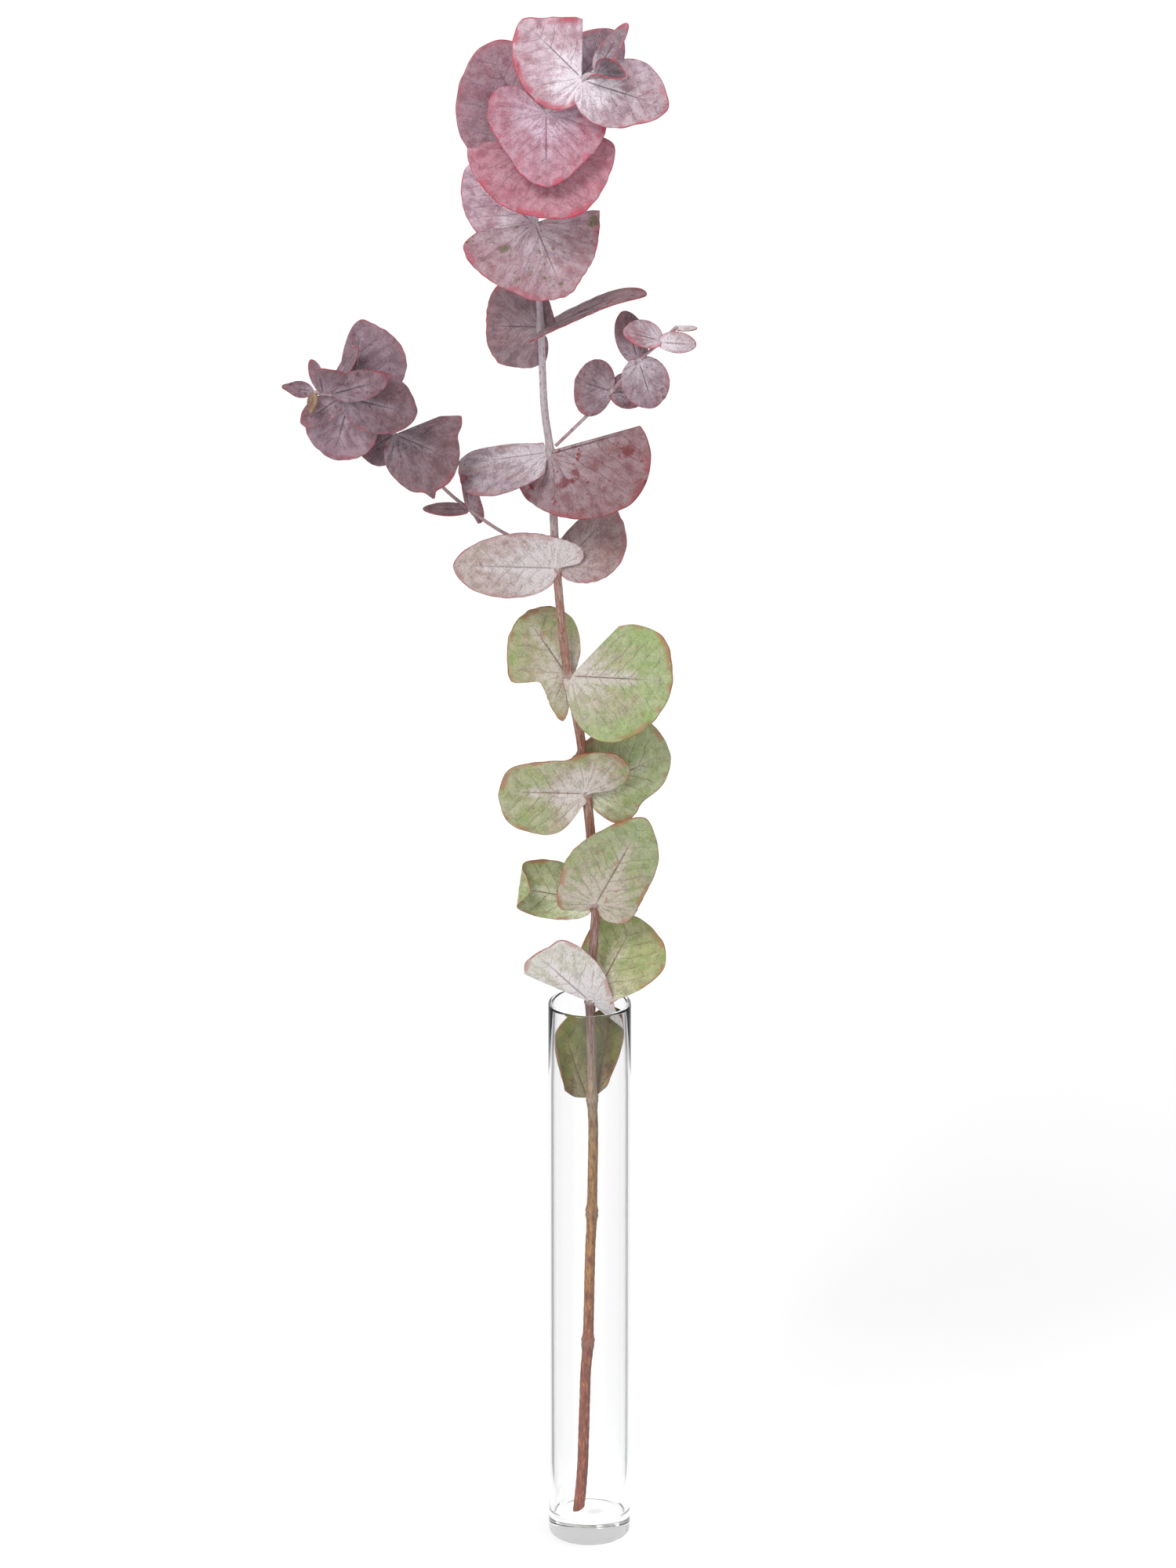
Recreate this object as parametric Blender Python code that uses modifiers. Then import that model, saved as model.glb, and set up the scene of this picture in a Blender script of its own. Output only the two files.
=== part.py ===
"""A cut eucalyptus branch standing in a tall clear-glass cylinder vase.

The branch is a woody main stem with two side twigs and round leaves that grow in opposite pairs,
straight from the stem. It only rests in the vase: the cut end stands on the vase's floor.
Lengths below are in millimetres. The origin is the centre of the vase's flat foot, +Z is up, and
the branch's best side faces -Y.
"""
import math

import bmesh
import bpy
import numpy as np

MM = 0.001

# Vase
VASE_RADIUS = 15.0
VASE_HEIGHT = 210.0
VASE_WALL = 1.8
VASE_FLOOR = 8.0
FOOT_ROUNDING = 2.3
FLOOR_ROUNDING = 2.5
VASE_STEPS = 40

# Branch
LEAF_THICKNESS = 0.6
LEAF_GAP = 0.5  # between a leaf and a stem, or the glass
LEAF_ROOT = 1.0  # a blade starts this far from the point where it joins the stem
LEAF_BASE = 1.6  # and its margin is at least this far from it
SMALL_LEAF = 16.0  # a leaf under this length has a coarser mesh
STEM_SPACING = 9.0  # between the points of a stem's curve
TWIG_SPACING = 5.0
NODE_SWELLING = 0.35  # how much thicker a stem is where leaves join it
SWELLING_REACH = 3.0
STEM_SIDES = 2  # the curve's bevel resolution
TIP_SPREAD = 9.0  # degrees either side of the midrib that a pointed tip takes up
NOTCH_CORNER = 40.0  # degrees over which a half's back corner is rounded off
NOTCH_DEPTH = 0.4  # how much shorter the blade is at the notch, as a share
MIDRIB_CREASE = 0.08  # share of a half's width that a fold is made in
EVEN_SPACING = 0.7  # the rest of a half's angles close up towards the tip
RIM_RELIEF = 4.0  # height over which a leaf bends back in under the vase's rim
LEAF_GRID = (14, 3)
SMALL_LEAF_GRID = (8, 2)

# The main stem from its cut end to its tip. A number marks the joint of a leaf pair.
MAIN_STEM = [
    ("cut", (-4.1, -2.0, 8.9)),
    (None, (-2.6, -2.5, 26.0)),
    (None, (-2.0, -3.0, 46.0)),
    (None, (-1.4, -3.5, 66.0)),
    ("scar_low", (-0.6, -4.0, 78.0)),
    (None, (0.2, -5.0, 113.0)),
    ("scar_high", (0.8, -5.5, 130.0)),
    (None, (1.3, -6.0, 160.0)),
    (0, (0.9, -6.0, 175.0)),
    (None, (0.7, -6.0, 192.0)),
    (1, (0.3, -6.0, 213.0)),
    (None, (1.4, -6.0, 234.0)),
    (2, (2.2, -6.0, 251.0)),
    (None, (0.3, -6.0, 278.0)),
    (3, (-1.2, -6.0, 293.0)),
    (None, (-3.1, -6.5, 313.0)),
    (4, (-7.5, -7.0, 338.0)),
    (None, (-9.8, -7.5, 356.0)),
    (5, (-11.7, -8.0, 379.0)),
    (None, (-12.6, -8.5, 395.0)),
    (6, (-13.9, -9.0, 422.0)),
    (None, (-16.0, -10.0, 440.0)),
    (7, (-17.1, -12.0, 469.0)),
    (None, (-18.2, -12.5, 488.0)),
    (8, (-19.2, -13.0, 508.0)),
    (None, (-18.8, -13.5, 522.0)),
    (9, (-17.5, -14.0, 536.0)),
    (10, (-15.0, -16.0, 549.0)),
    (11, (-2.5, -19.0, 562.0)),
    (12, (2.0, -20.0, 563.5)),
]
MAIN_RADII = [  # height, radius
    (8, 2.0),
    (170, 1.7),
    (300, 1.7),
    (420, 1.35),
    (510, 1.1),
    (570, 0.8),
]

LEFT_TWIG = [
    ("root", (-14.2, -7.0, 381.0)),
    (None, (-22.0, -6.5, 386.5)),
    (None, (-33.0, -9.5, 394.0)),
    (1, (-43.0, -11.0, 402.0)),
    (None, (-52.5, -12.0, 411.0)),
    (2, (-68.6, -15.0, 431.0)),
    (None, (-77.6, -17.0, 439.5)),
    (3, (-84.0, -18.5, 445.0)),
    (4, (-87.5, -19.5, 446.5)),
    (5, (-90.5, -20.5, 447.5)),
    (6, (-93.5, -21.0, 448.0)),
    (7, (-96.5, -21.5, 448.5)),
]
RIGHT_TWIG = [
    ("root", (-12.0, -8.8, 424.5)),
    (None, (-6.0, -9.0, 430.6)),
    (None, (0.0, -10.0, 437.0)),
    (1, (7.6, -13.0, 446.0)),
    (2, (17.2, -15.0, 458.0)),
    (None, (21.8, -16.0, 462.5)),
    (3, (24.9, -16.5, 465.5)),
    (4, (30.5, -15.5, 470.5)),
]
TWIG_RADIUS = 0.6


def leaf(name, stem, joint, tip, face, halves, lobes=(0.1, 0.1), side=None, notch=(150, 150),
         fold=(0, 0), cup=(0, 0), curl=0, point=0.03, colour="plum"):
    """One leaf. Left and right are as seen from its upper side with the tip up.

    tip: from the joint to the leaf's tip; face: where its upper side looks; halves: greatest
    width of the left and right half; lobes: how far each half reaches back past the joint, as a
    share of the length; side: the side of the stem that it grows from, the tip's side unless
    given; notch: the angle from the midrib at which each half ends; fold: the sharp turn of each
    half at the midrib, towards the upper side; cup: its even turn out to the margin; curl: the
    turn of the outer half of the leaf towards its upper side; point: how much the tip stands out.
    Angles are in degrees.
    """
    return dict(name=name, stem=stem, joint=joint, tip=tip, face=face, halves=halves,
                lobes=lobes, side=side or tip, notch=notch, fold=fold, cup=cup, curl=curl,
                point=point, colour=colour)


LEAVES = [
    leaf("leaf_0_left", "main", 0, (-11, 4, 24), (0.5, -0.8, 0.2), (11, 6), side=(-1, 0.2, 0),
         cup=(45, 15), notch=(120, 90), colour="green"),
    leaf("leaf_0_right", "main", 0, (8, 9, 30), (-0.5, -0.8, 0.2), (7, 12), side=(0.6, 1, 0),
         cup=(20, 45), notch=(90, 120), colour="green"),
    leaf("leaf_1_front", "main", 1, (-20, -4, 21), (0.2, -0.97, -0.1), (9, 16), lobes=(0.0, 0.6),
         side=(-0.1, -1, 0), fold=(-60, 0), notch=(100, 160), colour="green"),
    leaf("leaf_1_back", "main", 1, (16, 9, 29), (-0.2, -0.95, 0.15), (11, 17), side=(1, 1, 0),
         cup=(20, 10), notch=(100, 110), lobes=(0, 0.05), colour="green"),
    leaf("leaf_2_front", "main", 2, (16, -10, 34), (-0.1, -0.97, -0.12), (18, 12),
         lobes=(0.3, 0.1), side=(0.1, -1, 0), notch=(155, 140), colour="green"),
    leaf("leaf_2_back", "main", 2, (-34, 6, 4), (0.1, -0.9, 0.3), (9, 12), curl=170,
         side=(-1, 0.8, 0), notch=(100, 100), colour="green"),
    leaf("leaf_3_front", "main", 3, (-29, -5, 3), (0.1, -0.98, -0.05), (14, 19),
         lobes=(0.05, 0.85), side=(-0.3, -1, 0), fold=(10, 10), notch=(110, 168), colour="green"),
    leaf("leaf_3_back", "main", 3, (26, 5, 12), (-0.1, -0.97, 0.1), (19, 14), lobes=(0.1, 0.15),
         side=(0.6, 1, 0), notch=(130, 130), colour="green"),
    leaf("leaf_4_front", "main", 4, (34, -5, 0), (-0.1, -0.9, 0.4), (22, 24), lobes=(0.0, 0.15),
         side=(0.6, -1, 0), notch=(52, 155), colour="green"),
    leaf("leaf_4_back", "main", 4, (-15, 5, 21), (0.1, -0.9, 0.3), (18, 11), lobes=(0.42, 0.1),
         side=(-0.6, 1, 0), notch=(160, 130), colour="green"),
    leaf("leaf_5_front", "main", 5, (-35, -5, 3), (0.1, -0.98, -0.05), (12, 13), lobes=(0.05, 0.4),
         side=(-0.3, -1, 0), notch=(120, 165)),
    leaf("leaf_5_back", "main", 5, (19, 8, 18), (-0.2, -0.9, 0.3), (7, 15), notch=(100, 140)),
    leaf("leaf_6_left", "main", 6, (-30, 4, -6), (0.0, -0.45, 0.9), (14, 8), side=(-0.8, 1, 0),
         notch=(85, 95)),
    leaf("leaf_6_front", "main", 6, (34, -3, 11), (-0.2, -0.93, 0.33), (12, 24.5),
         lobes=(0.0, 0.6), side=(0.1, -1, 0), fold=(-95, 0), notch=(75, 145)),
    leaf("leaf_7_back", "main", 7, (-18, 1.5, 0), (0.0, -0.98, 0.0), (14, 15), lobes=(0.3, 0.35),
         side=(-0.2, 1, 0), notch=(140, 130)),
    leaf("leaf_7_right", "main", 7, (34, 2, 15), (-0.4, 0.15, 0.9), (11, 11), lobes=(0.0, 0.35),
         side=(1, -0.5, 0), notch=(110, 150)),
    leaf("leaf_8_front", "main", 8, (10, -14, -21), (0.2, -0.8, 0.6), (19, 26), lobes=(0.35, 0.42),
         side=(0, -1, 0), notch=(135, 135)),
    leaf("leaf_8_back", "main", 8, (-22, 9, 17), (0.3, -0.85, 0.4), (14, 12), side=(-1, 0.7, 0),
         notch=(130, 110)),
    leaf("leaf_9_front", "main", 9, (4, -15, -19), (0.1, -0.8, 0.6), (25, 26), lobes=(0.3, 0.3),
         side=(0, -1, 0), notch=(135, 135)),
    leaf("leaf_9_back", "main", 9, (-17, 11, 31), (0.2, -0.9, 0.3), (19, 19), side=(-1, 1, 0),
         notch=(115, 115)),
    leaf("leaf_10_front", "main", 10, (0, -14, -21), (0.1, -0.9, 0.4), (21, 20.5),
         lobes=(0.5, 0.5), side=(0, -1, 0), notch=(135, 135), point=0.06),
    leaf("leaf_10_back", "main", 10, (24, 12, 24), (-0.2, -0.97, 0.0), (12, 11), notch=(90, 90),
         lobes=(0, 0), side=(1, 1, 0)),
    leaf("leaf_11_left", "main", 11, (-19, -6, 21), (0.1, -0.9, 0.3), (18, 12), lobes=(0.2, 0.0),
         side=(-1, -0.5, 0), notch=(130, 100)),
    leaf("leaf_11_right", "main", 11, (28, -4.5, -8), (0.1, -0.9, 0.4), (10.5, 13),
         lobes=(0.0, 0.0), side=(1, -0.5, -0.3), notch=(65, 95)),
    leaf("tip_leaf_back", "main", 12, (9, 4, 13), (-0.3, -0.9, 0.3), (4, 4), fold=(20, 20),
         side=(0.1, 0.6, 1), notch=(60, 60), point=0.25),
    leaf("tip_leaf_front", "main", 12, (2, -7, 1), (0.1, -0.2, 0.9), (3.5, 3.5), fold=(30, 30),
         side=(0, -1, 0), notch=(80, 80), point=0.2),
    leaf("left_twig_leaf_1_left", "left", 1, (-14, -2, 1), (0, -0.3, 0.9), (4, 4),
         notch=(110, 110), point=0.1),
    leaf("left_twig_leaf_1_right", "left", 1, (1, 1, 8), (0.6, -0.8, 0.1), (1.5, 4),
         side=(0.4, -1, 0.8), lobes=(0, 0.4), notch=(90, 140), point=0.15),
    leaf("left_twig_leaf_2_front", "left", 2, (19, -5, -7), (0, -0.85, 0.5), (14.5, 15.5),
         lobes=(0.0, 0.15), side=(0.3, -1, 0), notch=(110, 145)),
    leaf("left_twig_leaf_2_back", "left", 2, (-11, 5, -9), (0, -0.85, 0.5), (8, 8),
         notch=(110, 110)),
    leaf("left_twig_leaf_3_up", "left", 3, (4, 9, 25), (-0.1, -0.95, 0.1), (5, 18),
         side=(0, 0.6, 1), lobes=(0, 0.05), notch=(90, 110)),
    leaf("left_twig_leaf_3_down", "left", 3, (-6, 2, -22), (-0.1, -0.95, 0.2), (13, 13),
         side=(0, 0.2, -1), notch=(110, 110)),
    leaf("left_twig_leaf_4_right", "left", 4, (26, -8, -4), (0.1, -0.97, 0.1), (12, 10),
         side=(0.3, -1, 0.2), lobes=(0, 0), notch=(95, 95)),
    leaf("left_twig_leaf_4_left", "left", 4, (-13, -2, -9), (0, -0.95, 0.3), (5, 5),
         side=(-0.2, -0.5, -1), lobes=(0, 0), notch=(95, 95)),
    leaf("left_twig_leaf_5_right", "left", 5, (19, -9, 8), (0.1, -0.95, 0.2), (6, 5),
         side=(0.3, -1, 0.5), lobes=(0, 0), notch=(90, 90)),
    leaf("left_twig_leaf_5_up", "left", 5, (9, 2, 16), (-0.6, -0.5, 0.6), (3.5, 3.5),
         side=(-0.4, 0.5, 1), lobes=(0, 0), notch=(90, 90)),
    leaf("left_twig_leaf_6_front", "left", 6, (-1, -12, 12), (0.1, -0.97, 0.0), (2, 9),
         side=(0, -1, 0.4), lobes=(0, 0), notch=(80, 90), point=0.1),
    leaf("left_twig_leaf_6_up", "left", 6, (-4, 5, 10), (0, -0.9, 0.3), (2.5, 2.5),
         side=(0.2, 1, 0.5), lobes=(0, 0), notch=(90, 90)),
    leaf("left_twig_leaf_7_left", "left", 7, (-9, 0, 1.5), (0, -0.6, 0.8), (3.5, 3.5),
         side=(-1, 0.1, 0.2), lobes=(0, 0), notch=(70, 70), point=0.25),
    leaf("left_twig_bud", "left", 7, (-1, -5, -4.5), (0, -0.5, 0.8), (2, 2), fold=(30, 30),
         side=(0.3, -1, -0.6), lobes=(0, 0), notch=(80, 80), point=0.2, colour="bud"),
    leaf("right_twig_leaf_1_left", "right", 1, (-14, -3, 5), (0, -0.9, 0.4), (9.5, 8.5),
         side=(-1, -0.3, 0.6), notch=(150, 130)),
    leaf("right_twig_leaf_1_right", "right", 1, (12, 3, -1), (0, -0.9, 0.4), (7, 6),
         side=(1, 0.6, -0.5), notch=(120, 140)),
    leaf("right_twig_leaf_2_front", "right", 2, (5, -5, -15), (0, -0.9, 0.4), (8.5, 8.5),
         side=(0, -1, -0.3)),
    leaf("right_twig_leaf_2_back", "right", 2, (-5, 4, 16), (0, -0.9, 0.4), (5.5, 5.5)),
    leaf("right_twig_leaf_3_left", "right", 3, (-12.5, -2, 4), (0, -0.8, 0.6), (4, 6),
         notch=(120, 130)),
    leaf("right_twig_leaf_3_right", "right", 3, (12, -5, 1), (0, -0.98, 0.1), (4.2, 3.5),
         side=(0.5, -1, 0), notch=(120, 130)),
    leaf("right_twig_leaf_4", "right", 4, (6.5, 0, 0), (0, -0.3, 0.9), (1.6, 1.6),
         notch=(100, 100), colour="bud"),
]

COLOURS = {  # base colour, roughness
    "green": ((0.30, 0.36, 0.22), 0.55),
    "plum": ((0.34, 0.20, 0.24), 0.55),
    "bud": ((0.45, 0.38, 0.28), 0.6),
    "bark": ((0.27, 0.14, 0.09), 0.75),
    "twig": ((0.42, 0.31, 0.32), 0.7),
    "glass": ((0.95, 0.97, 0.97), 0.02),
}


def material(name):
    """The Principled material of this name, made on first use."""
    if name in bpy.data.materials:
        return bpy.data.materials[name]
    colour, roughness = COLOURS[name]
    made = bpy.data.materials.new(name)
    made.use_nodes = True
    shader = made.node_tree.nodes["Principled BSDF"]
    shader.inputs["Base Color"].default_value = (*colour, 1)
    shader.inputs["Roughness"].default_value = roughness
    shader.inputs["Metallic"].default_value = 0
    if name == "glass":
        shader.inputs["Transmission Weight"].default_value = 1
    return made


def unit(vector):
    vector = np.asarray(vector, float)
    return vector / np.linalg.norm(vector)


def smooth_route(points, spacing):
    """Points about this far apart on a Catmull-Rom curve through the given ones."""
    known = np.array(points, float)
    known = np.vstack([2 * known[0] - known[1], known, 2 * known[-1] - known[-2]])
    route = []
    for before, start, end, after in zip(known, known[1:], known[2:], known[3:]):
        pieces = max(1, round(np.linalg.norm(end - start) / spacing))
        for t in np.arange(pieces) / pieces:
            route.append(0.5 * (2 * start + (end - before) * t
                                + (2 * before - 5 * start + 4 * end - after) * t ** 2
                                + (3 * start - before - 3 * end + after) * t ** 3))
    route.append(known[-2])
    return np.array(route)


def swelling(route, marked):
    """How much thicker each point of a route is, from its distance to the marked joints."""
    joints = np.array([place for mark, place in marked if mark not in (None, "cut", "root")])
    near = np.linalg.norm(route[:, None] - joints, axis=2).min(axis=1)
    return 1 + NODE_SWELLING * np.exp(-(near / SWELLING_REACH) ** 2)


def main_stem_shape():
    route = smooth_route([place for _, place in MAIN_STEM], STEM_SPACING)
    heights, radii = zip(*MAIN_RADII)
    return route, np.interp(route[:, 2], heights, radii) * swelling(route, MAIN_STEM)


def twig_shape(marked):
    route = smooth_route([place for _, place in marked], TWIG_SPACING)
    return route, TWIG_RADIUS * swelling(route, marked)


SHAPES = {"main": main_stem_shape(), "left": twig_shape(LEFT_TWIG), "right": twig_shape(RIGHT_TWIG)}
JOINTS = {
    "main": dict(MAIN_STEM),
    "left": dict(LEFT_TWIG),
    "right": dict(RIGHT_TWIG),
}


def joint_frame(stem, joint):
    """The joint's place, the stem's direction there and its radius."""
    route, radii = SHAPES[stem]
    place = np.array(JOINTS[stem][joint])
    index = int(np.linalg.norm(route - place, axis=1).argmin())
    along = route[min(index + 1, len(route) - 1)] - route[max(index - 1, 0)]
    return place, unit(along), radii[index]


def margin(angle, length, half, lobe, point, notch):
    """Distance from the joint to the leaf's margin at an angle from the midrib.

    Each half is half an ellipse with the joint inside it. Its back corner is rounded towards
    the notch, and the tip may stand out.
    """
    back = lobe * length
    middle, reach = (length - back) / 2, (length + back) / 2
    square = (np.cos(angle) / reach) ** 2 + (np.sin(angle) / half) ** 2
    across = middle * np.cos(angle) / reach ** 2
    distance = (across + np.sqrt(across ** 2 - square * ((middle / reach) ** 2 - 1))) / square
    distance *= 1 + point * np.exp(-(angle / math.radians(TIP_SPREAD)) ** 2)
    corner = math.radians(NOTCH_CORNER)
    past = np.clip((angle - notch + corner) / corner, 0, 1)
    return np.maximum(distance * (1 - NOTCH_DEPTH * past ** 2.5), LEAF_BASE)


def bend(distance, turn_at):
    """Where points at these distances along a strip lie once it turns by turn_at(distance)."""
    steps = np.linspace(0, max(distance.max(), MM), 60)
    middles = (steps[1:] + steps[:-1]) / 2
    turns = turn_at(middles)
    step = steps[1] - steps[0]
    forward = np.concatenate([[0], np.cumsum(np.cos(turns) * step)])
    rise = np.concatenate([[0], np.cumsum(np.sin(turns) * step)])
    return np.interp(distance, steps, forward), np.interp(distance, steps, rise)


def blade(row, across, out):
    """Points of a leaf's middle surface, in its own axes: right, towards the tip, up.

    across runs from -1 at the left half's notch to 1 at the right half's; out runs from 0 at
    the joint to 1 at the margin.
    """
    length = np.linalg.norm(row["tip"])
    flat_right, flat_tip = np.zeros_like(across), np.zeros_like(across)
    right, up = np.zeros_like(across), np.zeros_like(across)
    for side, sign in ((0, -1), (1, 1)):
        here = across * sign >= 0
        notch = math.radians(row["notch"][side])
        share = np.abs(across[here])
        angle = notch * (EVEN_SPACING * share + (1 - EVEN_SPACING) * share ** 2)
        edge = margin(angle, length, row["halves"][side], row["lobes"][side], row["point"], notch)
        distance = LEAF_ROOT + (edge - LEAF_ROOT) * out[here]
        flat_right[here] = distance * np.sin(angle)
        flat_tip[here] = distance * np.cos(angle)
        half = row["halves"][side]
        fold, cup = math.radians(row["fold"][side]), math.radians(row["cup"][side])
        crease = MIDRIB_CREASE * half
        turned, raised = bend(flat_right[here],
                              lambda q: fold * (1 - np.exp(-q / crease)) + cup * q / half)
        right[here] = sign * turned
        up[here] = raised
    curl = math.radians(row["curl"])

    def turn(along):
        return curl * np.clip(2 * along / length - 1, 0, 1) ** 1.5

    forward, rise = bend(np.maximum(flat_tip, 0), turn)
    angle = turn(flat_tip)
    ahead = np.where(flat_tip < 0, flat_tip, forward) - up * np.sin(angle)
    return right, ahead, rise + up * np.cos(angle)


def clear_of_stems(points, clearance):
    """Moves points that are too near a stem straight away from its centre line."""
    for route, radii in SHAPES.values():
        starts, runs = route[:-1], np.diff(route, axis=0)
        share = np.einsum("nij,ij->ni", points[:, None] - starts, runs) / (runs ** 2).sum(axis=1)
        nearest = starts + np.clip(share, 0, 1)[..., None] * runs
        away = points[:, None] - nearest
        distance = np.linalg.norm(away, axis=2)
        index = distance.argmin(axis=1)
        rows = np.arange(len(points))
        need = radii[index] + clearance
        found = distance[rows, index]
        push = np.maximum(need - found, 0) / np.maximum(found, 1e-6)
        points = points + away[rows, index] * push[:, None]
    return points


def clear_of_glass(points, clearance):
    """Moves points that would pass through the vase's wall in to its inner side."""
    inside = VASE_RADIUS - VASE_WALL - clearance
    distance = np.linalg.norm(points[:, :2], axis=1)
    low = np.clip((VASE_HEIGHT + RIM_RELIEF - points[:, 2]) / RIM_RELIEF, 0, 1)
    share = np.where(distance > inside, inside / np.maximum(distance, 1e-6), 1)
    share = 1 - (1 - share) * low
    return points * np.stack([share, share, np.ones_like(share)], axis=1)


def leaf_points(row, across, out):
    """Points of a leaf's middle surface where it grows."""
    joint, along, radius = joint_frame(row["stem"], row["joint"])
    tip, face = np.array(row["tip"], float), np.array(row["face"], float)
    side = np.array(row["side"], float)
    start = joint + unit(side - along * (side @ along)) * (radius + LEAF_GAP)
    ahead = unit(tip)
    up = unit(face - ahead * (face @ ahead))
    right = np.cross(ahead, up)
    local = blade(row, across, out)
    points = start + sum(part[:, None] * axis for part, axis in zip(local, (right, ahead, up)))
    clearance = LEAF_THICKNESS / 2 + LEAF_GAP
    points = clear_of_stems(points, clearance)
    return clear_of_glass(points, clearance)


def collection(name):
    made = bpy.data.collections.new(name)
    bpy.context.scene.collection.children.link(made)
    return made


def add_object(name, data, colour, home):
    made = bpy.data.objects.new(name, data)
    data.materials.append(material(colour))
    home.objects.link(made)
    return made


def make_leaf(row, home):
    """A grid laid out as the leaf's blade, with Solidify for its thickness."""
    small = np.linalg.norm(row["tip"]) < SMALL_LEAF
    around, outwards = SMALL_LEAF_GRID if small else LEAF_GRID
    mesh = bpy.data.meshes.new(row["name"])
    build = bmesh.new()
    bmesh.ops.create_grid(build, x_segments=around, y_segments=outwards, size=1)
    grid = np.array([vert.co for vert in build.verts])
    points = leaf_points(row, grid[:, 0], (grid[:, 1] + 1) / 2)
    for vert, point in zip(build.verts, points):
        vert.co = point * MM
    build.to_mesh(mesh)
    build.free()
    mesh.shade_smooth()
    made = add_object(row["name"], mesh, row["colour"], home)
    thickness = made.modifiers.new("thickness", "SOLIDIFY")
    thickness.thickness = LEAF_THICKNESS * MM
    thickness.offset = 0
    return made


def make_stem(name, shape, colour, home):
    """A tapering tube along a smooth curve."""
    route, radii = shape
    curve = bpy.data.curves.new(name, "CURVE")
    curve.dimensions = "3D"
    curve.twist_mode = "MINIMUM"
    curve.bevel_depth = MM
    curve.bevel_resolution = STEM_SIDES
    curve.use_fill_caps = True
    spline = curve.splines.new("POLY")
    spline.points.add(len(route) - 1)
    for point, place, radius in zip(spline.points, route, radii):
        point.co = (*(place * MM), 1)
        point.radius = radius
    return add_object(name, curve, colour, home)


def rounded(centre, radius, start, end, steps=4):
    """Points on an arc, angles in degrees."""
    angles = [math.radians(start + (end - start) * i / steps) for i in range(steps + 1)]
    return [(centre[0] + radius * math.cos(a), centre[1] + radius * math.sin(a)) for a in angles]


def make_vase(home):
    """The vase's profile, turned about its axis: floor, inner wall, rim, outer wall and foot."""
    inner = VASE_RADIUS - VASE_WALL
    lip = VASE_WALL / 2
    profile = [(0, VASE_FLOOR)]
    corner = (inner - FLOOR_ROUNDING, VASE_FLOOR + FLOOR_ROUNDING)
    profile += rounded(corner, FLOOR_ROUNDING, -90, 0)
    profile += rounded((VASE_RADIUS - lip, VASE_HEIGHT - lip), lip, 180, 0, 6)
    profile += rounded((VASE_RADIUS - FOOT_ROUNDING, FOOT_ROUNDING), FOOT_ROUNDING, 0, -90)
    profile += [(0, 0)]
    mesh = bpy.data.meshes.new("glass_vase")
    points = [(x * MM, 0, z * MM) for x, z in profile]
    mesh.from_pydata(points, [(i, i + 1) for i in range(len(points) - 1)], [])
    made = add_object("glass_vase", mesh, "glass", home)
    turned = made.modifiers.new("turned", "SCREW")
    turned.steps = VASE_STEPS
    turned.render_steps = VASE_STEPS
    turned.use_merge_vertices = True
    turned.merge_threshold = 0.00001
    return made


def main():
    for old in list(bpy.data.objects):
        bpy.data.objects.remove(old)
    home = collection("eucalyptus_branch")
    make_vase(home)
    make_stem("main_stem", SHAPES["main"], "bark", home)
    make_stem("left_twig", SHAPES["left"], "twig", home)
    make_stem("right_twig", SHAPES["right"], "twig", home)
    for row in LEAVES:
        make_leaf(row, home)


main()
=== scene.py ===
"""Looks of the cut eucalyptus branch in its clear-glass vase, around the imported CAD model.

The stems' routes and the leaves' places are those of the CAD part, in millimetres. Each CAD leaf
is replaced by a fine blade on the same joint, with its own veins, bloom, rim and ripples.
"""
import functools
import math

import bpy
import numpy as np
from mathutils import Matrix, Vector


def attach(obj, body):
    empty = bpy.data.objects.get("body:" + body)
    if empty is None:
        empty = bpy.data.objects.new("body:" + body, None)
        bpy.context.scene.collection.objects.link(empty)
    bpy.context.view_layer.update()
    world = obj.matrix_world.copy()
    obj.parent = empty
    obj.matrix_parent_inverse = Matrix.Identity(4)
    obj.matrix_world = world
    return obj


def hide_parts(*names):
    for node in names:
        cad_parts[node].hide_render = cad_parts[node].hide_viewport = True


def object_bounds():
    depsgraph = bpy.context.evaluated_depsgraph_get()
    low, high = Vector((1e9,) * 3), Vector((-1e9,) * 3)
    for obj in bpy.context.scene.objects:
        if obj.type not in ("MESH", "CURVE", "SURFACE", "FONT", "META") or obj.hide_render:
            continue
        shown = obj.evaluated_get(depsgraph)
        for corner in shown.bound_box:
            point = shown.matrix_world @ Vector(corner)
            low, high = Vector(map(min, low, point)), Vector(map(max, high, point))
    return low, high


MM = 0.001
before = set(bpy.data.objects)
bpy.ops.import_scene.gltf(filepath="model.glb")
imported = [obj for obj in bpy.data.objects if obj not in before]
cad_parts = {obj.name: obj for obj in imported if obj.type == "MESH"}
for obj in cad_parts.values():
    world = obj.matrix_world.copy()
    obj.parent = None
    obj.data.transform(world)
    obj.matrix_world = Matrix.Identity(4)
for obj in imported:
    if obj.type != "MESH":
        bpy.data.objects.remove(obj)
scene = bpy.context.scene
cad_box = [list(corner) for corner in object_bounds()]

# Vase
VASE_RADIUS = 15.0
VASE_HEIGHT = 210.0
VASE_WALL = 1.8
VASE_FLOOR = 8.0
FOOT_ROUNDING = 2.3
FLOOR_ROUNDING = 2.5
VASE_SIDES = 160
GLASS_IOR = 1.42
GLASS_SHADOW = (0.96, 0.97, 0.97, 1)

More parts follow.
